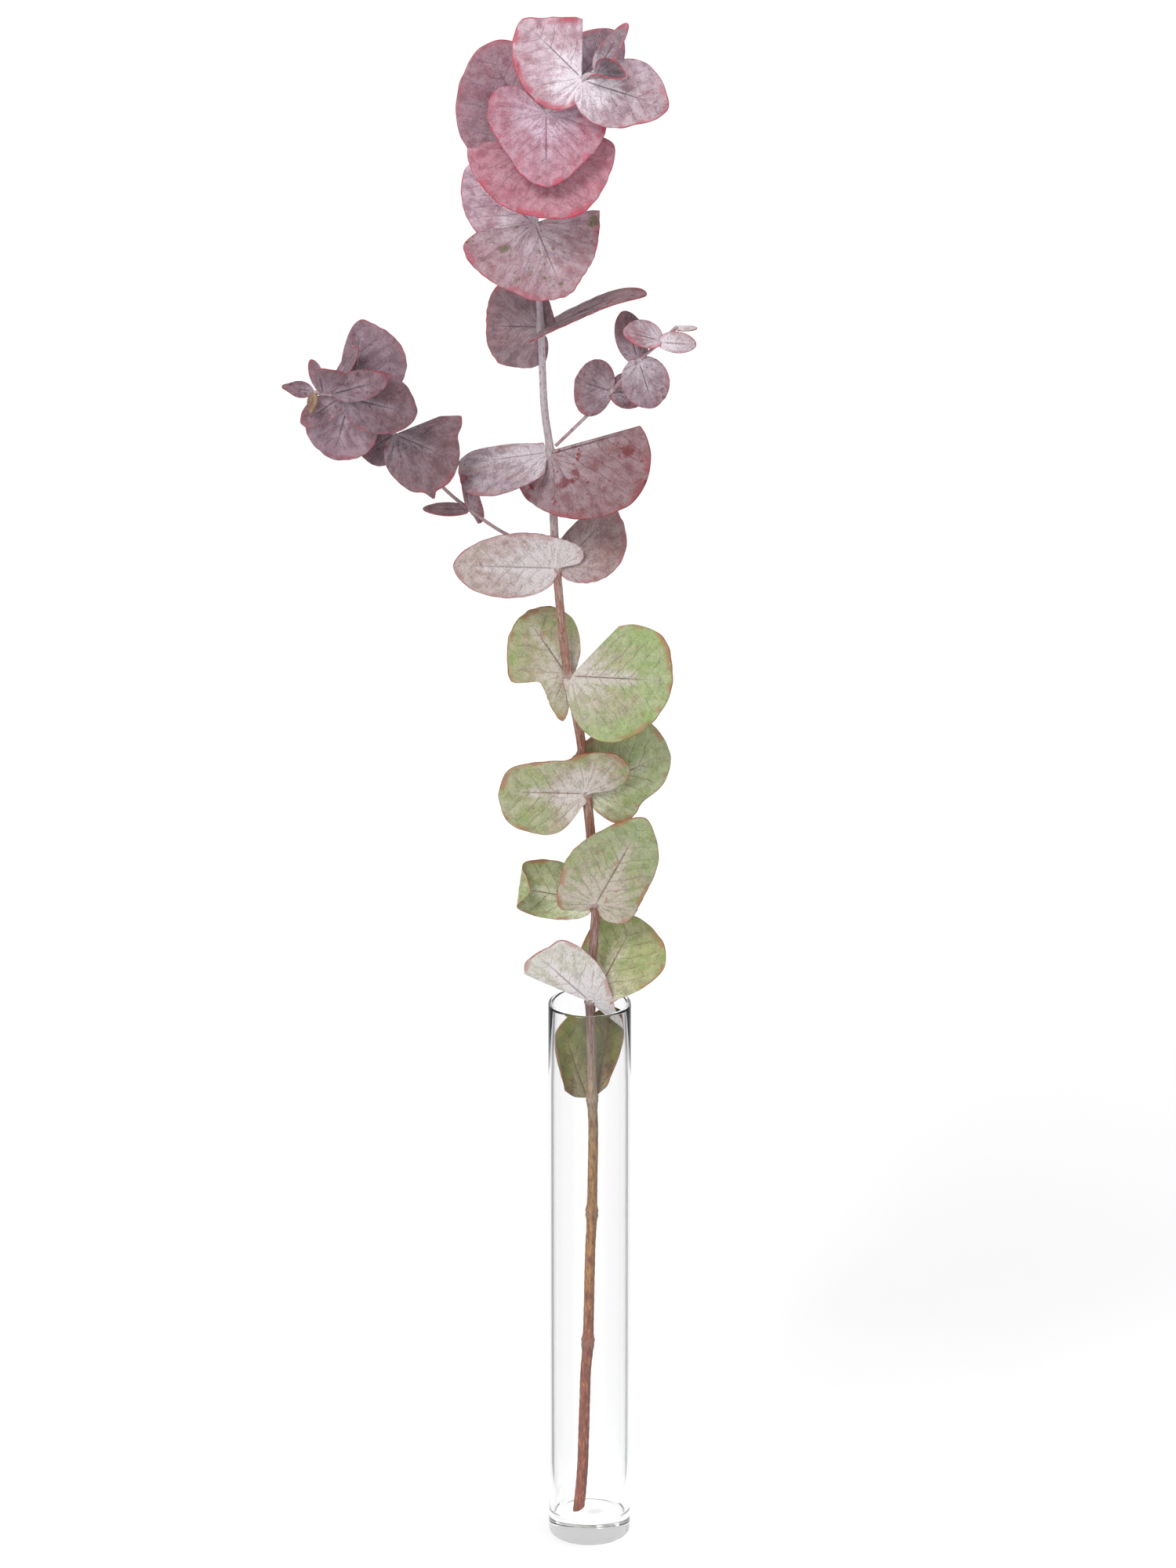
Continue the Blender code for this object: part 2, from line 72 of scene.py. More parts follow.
# Leaves
LEAF_THICKNESS = 0.45
LEAF_ROOT = 0.35
LEAF_BASE = 1.4
SMALL_LEAF = 16.0
NODE_SWELLING = 0.22
SWELLING_REACH = 3.0
TIP_SPREAD = 9.0
NOTCH_CORNER = 40.0
NOTCH_DEPTH = 0.4
MIDRIB_CREASE = 0.08
EVEN_SPACING = 0.8
RIM_RELIEF = 4.0
VEIN_SPACING = 5.2
VEIN_SLOPE = 0.84
CRIMP = 0.16  # how far the small crimps stand out
PILLOW = 0.22  # how far the blade rises between its side veins
GROOVE = 0.45  # how deep the midrib lies
GROOVE_WIDTH = 0.7
FULL_RIPPLE = 30.0  # a leaf this long ripples fully
ROOT_DEPTH = 0.8  # where a blade starts, in stem radii
LEAF_GRID = (132, 44)  # steps across and outwards
SMALL_LEAF_GRID = (72, 20)
LEAF_RELIEF = 0.22 * MM

# Stems
STEM_STEP, TWIG_STEP = 0.8, 0.6  # between the rings of a tube
STEM_SIDES, TWIG_SIDES = 32, 20
RIDGE = 0.035  # shares of the stem's radius
LUMP = 0.03
BULGE = 0.02
COLLAR = 0.12
COLLAR_PLACE, COLLAR_WIDTH = 0.9, 0.45
CUT_SLANT = -1.1
CUT_REACH = 6.0  # how far up the cut's slant still shows in the rings
BARK_RELIEF = 0.3 * MM

# Light
WORLD_LIGHT = 0.6
KEY_LIGHT = 1.5
FILL_LIGHT = 0.25
FLOOR_GLOW = 0.16
KEY_FROM, KEY_SOFTNESS = (-0.7, -1.0, 1.3), 24
FILL_FROM, FILL_SOFTNESS = (1.2, -0.8, 0.9), 60
LIGHT_STEPS, MIRROR_STEPS = 40, 32  # light runs far along inside the glass wall

# Stage and camera, in metres
FLOOR_REACH = 6
FLOOR_DROP = 0.0002
CARD_PLACE, CARD_REACH, CARD_HEIGHT = 0.045, 0.05, 0.21
CAMERA_PLACE = (-0.0006, -3.1826, 1.4902)
CAMERA_DOWN = 20.6  # degrees
LENS, SENSOR = 218.12, 36.0

# The main stem from its cut end to its tip. A number marks the joint of a leaf pair.
MAIN_STEM = [
    ("cut", (-4.1, -2, 8.9)), (None, (-2.6, -2.5, 26)), (None, (-2, -3, 46)),
    (None, (-1.4, -3.5, 66)), ("scar_low", (-0.6, -4, 78)), (None, (0.2, -5, 113)),
    ("scar_high", (0.8, -5.5, 130)), (None, (1.3, -6, 160)), (0, (0.9, -6, 175)),
    (None, (0.7, -6, 192)), (1, (0.3, -6, 213)), (None, (1.4, -6, 234)), (2, (2.2, -6, 251)),
    (None, (0.3, -6, 278)), (3, (-1.2, -6, 293)), (None, (-3.1, -6.5, 313)), (4, (-7.5, -7, 338)),
    (None, (-9.8, -7.5, 356)), (5, (-11.7, -8, 379)), (None, (-12.6, -8.5, 395)),
    (6, (-13.9, -9, 422)), (None, (-16, -10, 440)), (7, (-17.1, -12, 469)),
    (None, (-18.2, -12.5, 488)), (8, (-19.2, -13, 508)), (None, (-18.8, -13.5, 522)),
    (9, (-17.5, -14, 536)), (10, (-15, -16, 549)), (11, (-2.5, -19, 562)), (12, (2, -20, 563.5)),
]
MAIN_RADII = [(8, 2), (170, 1.7), (300, 1.7), (420, 1.35), (510, 1.1), (570, 0.8)]  # by height

LEFT_TWIG = [
    ("root", (-14.2, -7, 381)), (None, (-22, -6.5, 386.5)), (None, (-33, -9.5, 394)),
    (1, (-43, -11, 402)), (None, (-52.5, -12, 411)), (2, (-68.6, -15, 431)),
    (None, (-77.6, -17, 439.5)), (3, (-84, -18.5, 445)), (4, (-87.5, -19.5, 446.5)),
    (5, (-90.5, -20.5, 447.5)), (6, (-93.5, -21, 448)), (7, (-96.5, -21.5, 448.5)),
]
RIGHT_TWIG = [
    ("root", (-12, -8.8, 424.5)), (None, (-6, -9, 430.6)), (None, (0, -10, 437)),
    (1, (7.6, -13, 446)), (2, (17.2, -15, 458)), (None, (21.8, -16, 462.5)),
    (3, (24.9, -16.5, 465.5)), (4, (30.5, -15.5, 470.5)),
]
TWIG_RADIUS = 0.6


def leaf(name, stem, joint, tip, face, halves, lobes=(0.1, 0.1), side=None, notch=(150, 150),
         fold=(0, 0), cup=(0, 0), curl=0, point=0.03, colour="plum", drawn=None, wave=0.7):
    """One leaf. wave is how far its outer blade ripples. drawn is a measured margin of
    (degrees from the midrib, millimetres) that stands in for the one of lobes, notch and point."""
    row = dict(locals())
    row["side"] = side or tip
    row["drawn"] = drawn and [tuple(map(float, pair.split())) for pair in drawn.split(",")]
    return row


LEAVES = [
    leaf("leaf_0_left", "main", 0, (-9, 5, 25), (0.45, -0.85, 0.2), (11, 13), side=(-1, 0.2, 0),
         cup=(35, 12), colour="green",
         drawn="-62 5, -50 11, -38 16, -25 21, -11 25.6, 0 28.5, 11 30, 20 28.5, 30 25, 45 16, "
               "60 10, 75 5"),
    leaf("leaf_0_right", "main", 0, (7, 10, 30), (-0.4, -0.88, 0.2), (10, 13), side=(0.6, 1, 0),
         cup=(8, 35), colour="green",
         drawn="-60 6, -40 14, -25 22, -14 30, 0 33, 8 32.5, 15 27.7, 19 21, 26 12, 40 6"),
    leaf("leaf_1_front", "main", 1, (-20, -4, 21), (0.2, -0.97, -0.1), (9, 16), side=(-0.1, -1, 0),
         fold=(-15, 0), colour="green",
         drawn="-21 26.2, -10 28.5, 0 28.2, 10 27.4, 20 27.6, 30 24, 40 19.9, 60 13.8, 80 10.4, "
               "100 8.6, 120 8.3, 140 8.7, 160 10.8, 172 15, 178 17"),
    leaf("leaf_1_back", "main", 1, (16, 9, 29), (-0.2, -0.95, 0.15), (11, 17), side=(1, 1, 0),
         cup=(20, 10), colour="green",
         drawn="-100 4, -60 11, -40 20, -20 31, 0 33.5, 20 32.7, 30 31, 40 27, 50 18, 60 10, "
               "80 6, 110 4"),
    leaf("leaf_2_front", "main", 2, (16, -10, 34), (-0.1, -0.97, -0.12), (18, 12),
         side=(0.1, -1, 0), colour="green",
         drawn="-158 5, -150 9, -140 11.5, -120 13.9, -100 14.6, -80 15.8, -60 19.9, -40 25.2, "
               "-20 32.2, -10 37.3, 0 42, 4 40.5, 10 37.5, 20 32.1, 40 21, 60 16, 80 14.4, "
               "100 13, 120 9, 145 4"),
    leaf("leaf_2_back", "main", 2, (-34, 6, 4), (0.1, -0.9, 0.3), (9, 12), curl=170,
         side=(-1, 0.8, 0), notch=(100, 100), colour="green"),
    leaf("leaf_3_front", "main", 3, (-29, -5, 3), (0.1, -0.98, -0.05), (14, 19),
         side=(-0.3, -1, 0), fold=(10, 10), colour="green",
         drawn="-110 3, -80 5, -70 9.5, -60 16.5, -40 23.3, -20 29.8, 0 31.3, 10 31, 20 29.2, "
               "30 24, 40 20.2, 60 16.4, 80 17.3, 100 18, 120 19.4, 140 18.9, 160 14, 168 9"),
    leaf("leaf_3_back", "main", 3, (26, 5, 12), (-0.1, -0.97, 0.1), (19, 14), side=(0.6, 1, 0),
         colour="green",
         drawn="-130 6, -100 12, -80 15, -60 20, -40 26, -20 33, 0 32.2, 20 27.4, 40 19.8, "
               "60 18.5, 75 16, 90 10, 110 4"),
    leaf("leaf_4_front", "main", 4, (34, -5, 0), (-0.1, -0.9, 0.4), (22, 24), side=(0.6, -1, 0),
         colour="green", wave=1,
         drawn="-49 24.5, -45 27.3, -40 30, -20 36.6, 0 36.6, 20 34.6, 40 31.3, 60 26.6, 70 22, "
               "80 16.5, 90 10.5, 100 7, 120 4.5, 150 3"),
    leaf("leaf_4_back", "main", 4, (-15, 5, 21), (0.1, -0.9, 0.3), (18, 11), side=(-0.6, 1, 0),
         colour="green",
         drawn="-155 6, -148 13, -140 17, -130 15, -120 13, -100 10.3, -80 9.6, -70 10.5, "
               "-64 19.5, -60 20.3, -40 21.9, -20 24.8, 0 26.3, 20 25, 40 20.2, 60 11.8, 80 6, "
               "110 3"),
    leaf("leaf_5_front", "main", 5, (-35, -5, 3), (0.1, -0.98, -0.05), (12, 13), lobes=(0.05, 0.4),
         side=(-0.3, -1, 0), notch=(120, 165)),
    leaf("leaf_5_back", "main", 5, (19, 8, 18), (-0.2, -0.9, 0.3), (7, 15), notch=(100, 140)),
    leaf("leaf_6_left", "main", 6, (-30, 4, -6), (0, -0.45, 0.9), (14, 8), side=(-0.8, 1, 0),
         drawn="-85 10, -60 18.4, -40 27.4, -20 32.6, 0 32.4, 10 29, 20 18.5, 40 8.5, 70 5"),
    leaf("leaf_6_front", "main", 6, (34, -3, 11), (-0.2, -0.93, 0.33), (12, 24.5),
         side=(0.1, -1, 0), fold=(-95, 0), wave=0.5,
         drawn="-75 11, -50 15, -25 24, 0 34, 10 35.4, 20 36, 40 35, 60 30.3, 80 25.5, 100 21.8, "
               "120 19.2, 140 17.4, 160 14.3, 172 11.5"),
    leaf("leaf_7_back", "main", 7, (-18, 1.5, 0), (0, -0.98, 0), (14, 15), side=(-0.2, 1, 0),
         drawn="-120 4.5, -108 9, -100 12, -80 15.1, -60 17.2, -40 20, -20 19.8, 0 19, 20 19.8, "
               "40 21, 60 21, 80 18, 100 12, 120 8, 140 6.3, 165 5.4"),
    leaf("leaf_7_right", "main", 7, (34, 2, 15), (-0.45, -0.18, 0.87), (11, 12), lobes=(0, 0.35),
         side=(1, -0.5, 0), notch=(110, 150), cup=(-25, 35), curl=-25),
    leaf("leaf_8_front", "main", 8, (10, -14, -21), (0.2, -0.8, 0.6), (19, 26), side=(0, -1, 0),
         drawn="-92 6, -88 12, -84 24, -80 23.6, -60 23, -40 23.9, -20 25.4, 0 28.8, 20 28.8, "
               "40 27, 60 27.2, 80 28, 90 27.2, 99 21"),
    leaf("leaf_8_back", "main", 8, (-22, 9, 17), (0.3, -0.85, 0.4), (14, 12), side=(-1, 0.7, 0),
         drawn="-130 4, -100 11, -80 15, -60 19, -40 22.6, -20 26.6, 0 30, 20 27, 40 20, 60 15, "
               "80 12, 110 5"),
    leaf("leaf_9_front", "main", 9, (4, -15, -19), (0.1, -0.8, 0.6), (25, 26), side=(0, -1, 0),
         drawn="-135 14, -115 17, -98 20, -86 25.5, -80 26.5, -60 26.3, -40 27.2, -20 28.5, 0 27, "
               "20 25.8, 40 25.8, 60 25.2, 80 25.5, 100 25, 120 21, 135 15"),
    leaf("leaf_9_back", "main", 9, (-17, 11, 31), (0.2, -0.9, 0.3), (19, 19), side=(-1, 1, 0),
         drawn="-115 8, -95 14, -80 20, -60 26.3, -40 31, -20 35.6, 0 39.5, 10 38.5, 20 35, "
               "40 25, 60 21, 80 18, 100 13, 115 8"),
    leaf("leaf_10_front", "main", 10, (0, -14, -21), (0.1, -0.9, 0.4), (21, 20.5), side=(0, -1, 0),
         drawn="-135 12, -120 16, -100 20, -80 21.5, -60 21.6, -40 21.7, -20 24, 0 26.8, 20 24.4, "
               "40 20.6, 60 19.8, 80 20.6, 100 20.4, 120 18, 135 13"),
    leaf("leaf_10_back", "main", 10, (24, 12, 24), (-0.2, -0.97, 0), (12, 11), notch=(90, 90),
         lobes=(0, 0), side=(1, 1, 0)),
    leaf("leaf_11_left", "main", 11, (-19, -6, 21), (0.1, -0.9, 0.3), (18, 12), side=(-1, -0.5, 0),
         drawn="-140 3, -120 9, -100 13, -80 16.4, -60 19.5, -40 23.6, -20 28.4, -10 30.2, "
               "0 31.3, 10 27.2, 20 24.6, 30 22.8, 40 21.6, 45 21"),
    leaf("leaf_11_right", "main", 11, (28, -4.5, -8), (0.1, -0.9, 0.4), (10.5, 13),
         side=(1, -0.5, -0.3),
         drawn="-65 7, -52 12, -40 19.8, -20 26.6, -8 29.5, 0 31, 8 29.5, 20 24.8, 40 19.8, "
               "60 15.1, 80 10.5, 98 7"),
    leaf("tip_leaf_back", "main", 12, (9, 4, 13), (-0.3, -0.9, 0.3), (4, 4), fold=(20, 20),
         side=(0.1, 0.6, 1), notch=(60, 60), point=0.25),
    leaf("tip_leaf_front", "main", 12, (9.5, -7, 2), (-0.25, -0.5, 0.8), (6.5, 6.5), fold=(25, 25),
         side=(0, -1, 0), notch=(110, 110), point=0.1, cup=(55, 55)),
    leaf("left_twig_leaf_1_left", "left", 1, (-14, -2, 1), (0, -0.3, 0.9), (4, 4),
         notch=(110, 110), point=0.1),
    leaf("left_twig_leaf_1_right", "left", 1, (-2, 0, 11), (0.5, -0.85, 0.1), (2, 5.5),
         side=(0.4, -1, 0.8), lobes=(0.2, 1.4), notch=(90, 160), point=0.15, fold=(40, 0)),
    leaf("left_twig_leaf_2_front", "left", 2, (19, -5, -7), (0, -0.85, 0.5), (14.5, 15.5),
         side=(0.3, -1, 0),
         drawn="-46 17, -43 20, -39 24.3, -30 23.5, -22 22.2, -10 23.6, 5 25.2, 19 26, 30 25.3, "
               "35 27.2, 39 24, 49 21.7, 63 16.8, 78 12.5, 96 7.5, 113 4"),
    leaf("left_twig_leaf_2_back", "left", 2, (-11, 5, -9), (0, -0.85, 0.5), (8, 8),
         notch=(110, 110)),
    leaf("left_twig_leaf_3_up", "left", 3, (4, 9, 25), (-0.1, -0.95, 0.1), (5, 18),
         side=(0, 0.6, 1), lobes=(0, 0.05), notch=(90, 110)),
    leaf("left_twig_leaf_3_down", "left", 3, (-6, 2, -22), (-0.1, -0.95, 0.2), (13, 13),
         side=(0, 0.2, -1), notch=(110, 110)),
    leaf("left_twig_leaf_4_right", "left", 4, (26, -8, -4), (0.1, -0.97, 0.1), (12, 10),
         side=(0.3, -1, 0.2), lobes=(0, 0), notch=(95, 95)),
    leaf("left_twig_leaf_4_left", "left", 4, (-13, -2, -9), (0, -0.95, 0.3), (5, 5),
         side=(-0.2, -0.5, -1), lobes=(0, 0), notch=(95, 95)),
    leaf("left_twig_leaf_5_right", "left", 5, (19, -9, 8), (0.1, -0.95, 0.2), (6, 5),
         side=(0.3, -1, 0.5), lobes=(0, 0), notch=(90, 90)),
    leaf("left_twig_leaf_5_up", "left", 5, (9, 2, 16), (-0.6, -0.5, 0.6), (3.5, 3.5),
         side=(-0.4, 0.5, 1), lobes=(0, 0), notch=(90, 90)),
    leaf("left_twig_leaf_6_front", "left", 6, (-1, -12, 12), (0.1, -0.97, 0), (2, 9),
         side=(0, -1, 0.4), lobes=(0, 0), notch=(80, 90), point=0.1),
    leaf("left_twig_leaf_6_up", "left", 6, (-4, 5, 10), (0, -0.9, 0.3), (2.5, 2.5),
         side=(0.2, 1, 0.5), lobes=(0, 0), notch=(90, 90)),
    leaf("left_twig_leaf_7_left", "left", 7, (-9, 0, 1.5), (0, -0.6, 0.8), (3.5, 3.5),
         side=(-1, 0.1, 0.2), lobes=(0, 0), notch=(70, 70), point=0.25),
    leaf("left_twig_bud", "left", 7, (-1, -5, -4.5), (0, -0.5, 0.8), (2, 2), fold=(30, 30),
         side=(0.3, -1, -0.6), lobes=(0, 0), notch=(80, 80), point=0.2, colour="bud"),
    leaf("right_twig_leaf_1_left", "right", 1, (-12, -3, 5), (0, -0.9, 0.4), (11, 9.5),
         side=(-1, -0.3, 0.6), notch=(150, 130)),
    leaf("right_twig_leaf_1_right", "right", 1, (12, 3, -1), (0, -0.9, 0.4), (7, 6),
         side=(1, 0.6, -0.5), notch=(120, 140)),
    leaf("right_twig_leaf_2_front", "right", 2, (5, -5, -15), (0, -0.9, 0.4), (8.5, 8.5),
         side=(0, -1, -0.3)),
    leaf("right_twig_leaf_2_back", "right", 2, (-5, 4, 16), (0, -0.9, 0.4), (5.5, 5.5)),
    leaf("right_twig_leaf_3_left", "right", 3, (-12.5, -2, 4), (0, -0.8, 0.6), (4, 6),
         notch=(120, 130)),
    leaf("right_twig_leaf_3_right", "right", 3, (12, -5, 1), (0, -0.98, 0.1), (4.2, 3.5),
         side=(0.5, -1, 0), notch=(120, 130)),
    leaf("right_twig_leaf_4", "right", 4, (6.5, 0, 0), (0, -0.3, 0.9), (1.6, 1.6),
         notch=(100, 100), colour="bud"),
]

# Each leaf's look, its inner and outer blade colours and its bloom
TONES = {
    # leaf_0_left and leaf_0_right: their dark inner colours are painted shade, the deep shade
    # inside the cupped pair next to the stem
    "leaf_0_left": "moss 5a3628 606e2c 86805c",
    "leaf_0_right": "moss 54362a 5c5c2a 8a7c5a",
    "leaf_1_front": "pale c0bcb2 c2c4ac d6d2d4",
    "leaf_1_back": "green a4a878 9aa468 c4c0a8",
    "leaf_2_front": "green 9c967a 8ca06c bcb4a8",
    "leaf_2_back": "moss a4a880 8a9656 c8ccb4",
    "leaf_3_front": "green b0a08e 9aa470 ccc4c0",
    "leaf_3_back": "green a09872 a6b284 c4c8b0",
    "leaf_4_front": "green aea28c 96ae6c c4beb6",
    "leaf_4_back": "green aaa084 9aa070 c2bcb0",
    "leaf_5_front": "greyish b8aaa6 b29c90 cec6c8",
    "leaf_5_back": "greyish 967678 926e6c b0a0a0",
    "leaf_6_left": "greyish 9c868e 806470 ccc2ca",
    "leaf_6_front": "maroon 86646a 7e5052 a8969c",
    "leaf_7_back": "dusky 80666e 765c62 a8969c",
    "leaf_7_right": "maroon 8c727c 7e5860 b09ca2",
    "leaf_8_front": "spotted aa949e 9e707a ccbec6",
    # leaf_8_back: its near-white bloom is partly real bloom and partly a painted highlight near
    # the stem
    "leaf_8_back": "mauve d4bac8 a87c90 f4eaf2",
    "leaf_9_front": "rose b88290 b8707e dab6c4",
    "leaf_9_back": "dusky 88646f 965e6c bca8b4",
    "leaf_10_front": "rose b08896 b87484 d8c0d0",
    "leaf_10_back": "dusky 8c7684 80666f b4a4b0",
    # leaf_11_left: its near-white bloom is partly real bloom and partly a painted highlight at its
    # base
    "leaf_11_left": "rose d8b8c6 c090a0 f8f0f8",
    "leaf_11_right": "mauve b49aa8 987482 e8dee6",
    "tip_leaf_back": "mauve 8c747c 7c5c68 bcb0b8",
    "tip_leaf_front": "dusky 6c5a62 58464e a0949c",
    "left_twig_leaf_1_left": "twig 8c6c74 84585e b8a4aa",
    "left_twig_leaf_1_right": "twig 846068 7c5058 a8949c",
    "left_twig_leaf_2_front": "twig 62505a 6a484e a08e96",
    "left_twig_leaf_2_back": "twig 5c4a52 62464e 88747c",
    "left_twig_leaf_3_up": "twig 887080 846670 b09ca8",
    "left_twig_leaf_3_down": "twig 987c8a 8e6a76 bca8b4",
    "left_twig_leaf_4_right": "twig 765e68 684850 988690",
    "left_twig_leaf_4_left": "twig 80626e 74525c a8949e",
    "right_twig_leaf_1_left": "twig 886a74 7a5a62 b0a0a8",
    "right_twig_leaf_1_right": "twig 7c6068 70525a a8969e",
    "right_twig_leaf_2_front": "twig a08c96 886672 c4b8c0",
    "right_twig_leaf_2_back": "twig 7a5e68 6e4e58 a8969e",
    "right_twig_leaf_3_left": "mauve a8929c 94707c ccc0c8",
    "right_twig_leaf_3_right": "greyish b4a6ae a08c96 dcd2da",
    "right_twig_leaf_4": "pale b4aab0 a49aa2 dcd6dc",
    "left_twig_bud": "bud 90705e 84604e b8a494",
}

# Bark colours from the foot up: (height in millimetres, colour), and the bloom on the bark
MAIN_BARK = [(8, "8c4438"), (45, "8a4a3c"), (80, "8c5040"), (105, "9c6a40"), (150, "967044"),
             # The dark stop at 205 mm is partly the bark's own colour and partly painted shade,
             # the shade of the leaf pairs above, darkening the stem up to about 250 mm
             (178, "8e7c62"), (205, "7c5c50"), (300, "8e5e48"), (372, "9c7060"), (400, "b09c9c"),
             (450, "bcaeb6"), (520, "c8bac4")]
MAIN_BLOOM = "c0b4b2"
TWIG_BARK = [(380, "a88c90"), (470, "a8848c")]
TWIG_BLOOM = "d0c0c6"

# Large soft spots: (right of the midrib, along it, radius) in millimetres, and their colour
SPOTS = {
    "leaf_8_front": ("56602a", [(14.0, 6.0, 2.6), (-21.0, 6.0, 2.6)]),
    "leaf_6_front": ("6e1c1c", [(11.0, 2.0, 3.4), (9.0, 7.0, 2.6), (6.0, 27.0, 3.0)]),
}


def smooth_route(points, spacing):
    """Points about this far apart on a Catmull-Rom curve through the given ones."""
    known = np.array(points, float)
    known = np.vstack([2 * known[0] - known[1], known, 2 * known[-1] - known[-2]])
    route = []
    for before, start, end, after in zip(known, known[1:], known[2:], known[3:]):
        pieces = max(1, round(np.linalg.norm(end - start) / spacing))
        for t in np.arange(pieces) / pieces:
            route.append(0.5 * (2 * start + (end - before) * t
                                + (2 * before - 5 * start + 4 * end - after) * t ** 2
                                + (3 * start - before - 3 * end + after) * t ** 3))
    route.append(known[-2])
    return np.array(route)


def joint_distance(route, marked):
    """Each point's distance to the nearest joint of a leaf pair."""
    joints = np.array([place for mark, place in marked if mark not in (None, "cut", "root")])
    return np.linalg.norm(route[:, None] - joints, axis=2).min(axis=1)


def swelling(route, marked):
    """How much thicker each point of a route is for being near a joint."""
    return 1 + NODE_SWELLING * np.exp(-(joint_distance(route, marked) / SWELLING_REACH) ** 2)


def main_stem_shape(spacing):
    route = smooth_route([place for _, place in MAIN_STEM], spacing)
    radii = np.interp(route[:, 2], *zip(*MAIN_RADII))
    return route, radii * swelling(route, MAIN_STEM)


def twig_shape(marked, spacing):
    route = smooth_route([place for _, place in marked], spacing)
    return route, TWIG_RADIUS * swelling(route, marked)


SHAPES = {"main": main_stem_shape(4.0), "left": twig_shape(LEFT_TWIG, 3.0),
          "right": twig_shape(RIGHT_TWIG, 3.0)}
JOINTS = {"main": dict(MAIN_STEM), "left": dict(LEFT_TWIG), "right": dict(RIGHT_TWIG)}


def unit(vector):
    """The same direction, one long."""
    vector = np.asarray(vector, float)
    return vector / np.linalg.norm(vector)


def joint_frame(stem, joint):
    """The joint's place, the stem's direction there and its radius."""
    route, radii = SHAPES[stem]
    place = np.array(JOINTS[stem][joint])
    index = int(np.linalg.norm(route - place, axis=1).argmin())
    along = route[min(index + 1, len(route) - 1)] - route[max(index - 1, 0)]
    return place, unit(along), radii[index]


def waves(angle, rng, counts, share):
    """A sum of sines round the leaf, each with its own height and start."""
    total = np.zeros_like(angle)
    for count in counts:
        height, start = rng.uniform(0.4, 1.0), rng.uniform(0, 2 * math.pi)
        total += height * np.sin(count * angle + start)
    return share * total / math.sqrt(len(counts))


def margin(angle, length, half, lobe, point, notch):
    """Distance from the joint to the leaf's margin at an angle from the midrib."""
    back = lobe * length
    middle, reach = (length - back) / 2, (length + back) / 2
    square = (np.cos(angle) / reach) ** 2 + (np.sin(angle) / half) ** 2
    across = middle * np.cos(angle) / reach ** 2
    distance = (across + np.sqrt(across ** 2 - square * ((middle / reach) ** 2 - 1))) / square
    distance *= 1 + point * np.exp(-(angle / math.radians(TIP_SPREAD)) ** 2)
    corner = math.radians(NOTCH_CORNER)
    past = np.clip((angle - notch + corner) / corner, 0, 1)
    return np.maximum(distance * (1 - NOTCH_DEPTH * past ** 2.5), LEAF_BASE)


def drawn_margin(angle, drawn):
    """The margin through measured (degrees, millimetres) points, left ones negative."""
    known, radii = np.radians([p[0] for p in drawn]), np.array([p[1] for p in drawn], float)
    rise = np.diff(radii) / np.diff(known)
    slopes = np.concatenate([[rise[0]], (rise[1:] + rise[:-1]) / 2, [rise[-1]]])
    level = rise[1:] * rise[:-1] <= 0
    limit = 2 * np.minimum(np.abs(rise[1:]), np.abs(rise[:-1]))
    slopes[1:-1] = np.where(level, 0, np.clip(slopes[1:-1], -limit, limit))
    index = np.clip(np.searchsorted(known, angle) - 1, 0, len(known) - 2)
    gap = known[index + 1] - known[index]
    t = np.clip((angle - known[index]) / gap, 0, 1)
    start, end = radii[index], radii[index + 1]
    return np.maximum((2 * t ** 3 - 3 * t ** 2 + 1) * start + (3 * t ** 2 - 2 * t ** 3) * end
                      + gap * ((t ** 3 - 2 * t ** 2 + t) * slopes[index]
                               + (t ** 3 - t ** 2) * slopes[index + 1]), LEAF_BASE)


def bend(distance, turn_at):
    """Where points at these distances along a strip lie once it turns by turn_at(distance)."""
    steps = np.linspace(0, max(distance.max(), MM), 120)
    middles = (steps[1:] + steps[:-1]) / 2
    turns = turn_at(middles)
    step = steps[1] - steps[0]
    forward = np.concatenate([[0], np.cumsum(np.cos(turns) * step)])
    rise = np.concatenate([[0], np.cumsum(np.sin(turns) * step)])
    return np.interp(distance, steps, forward), np.interp(distance, steps, rise)


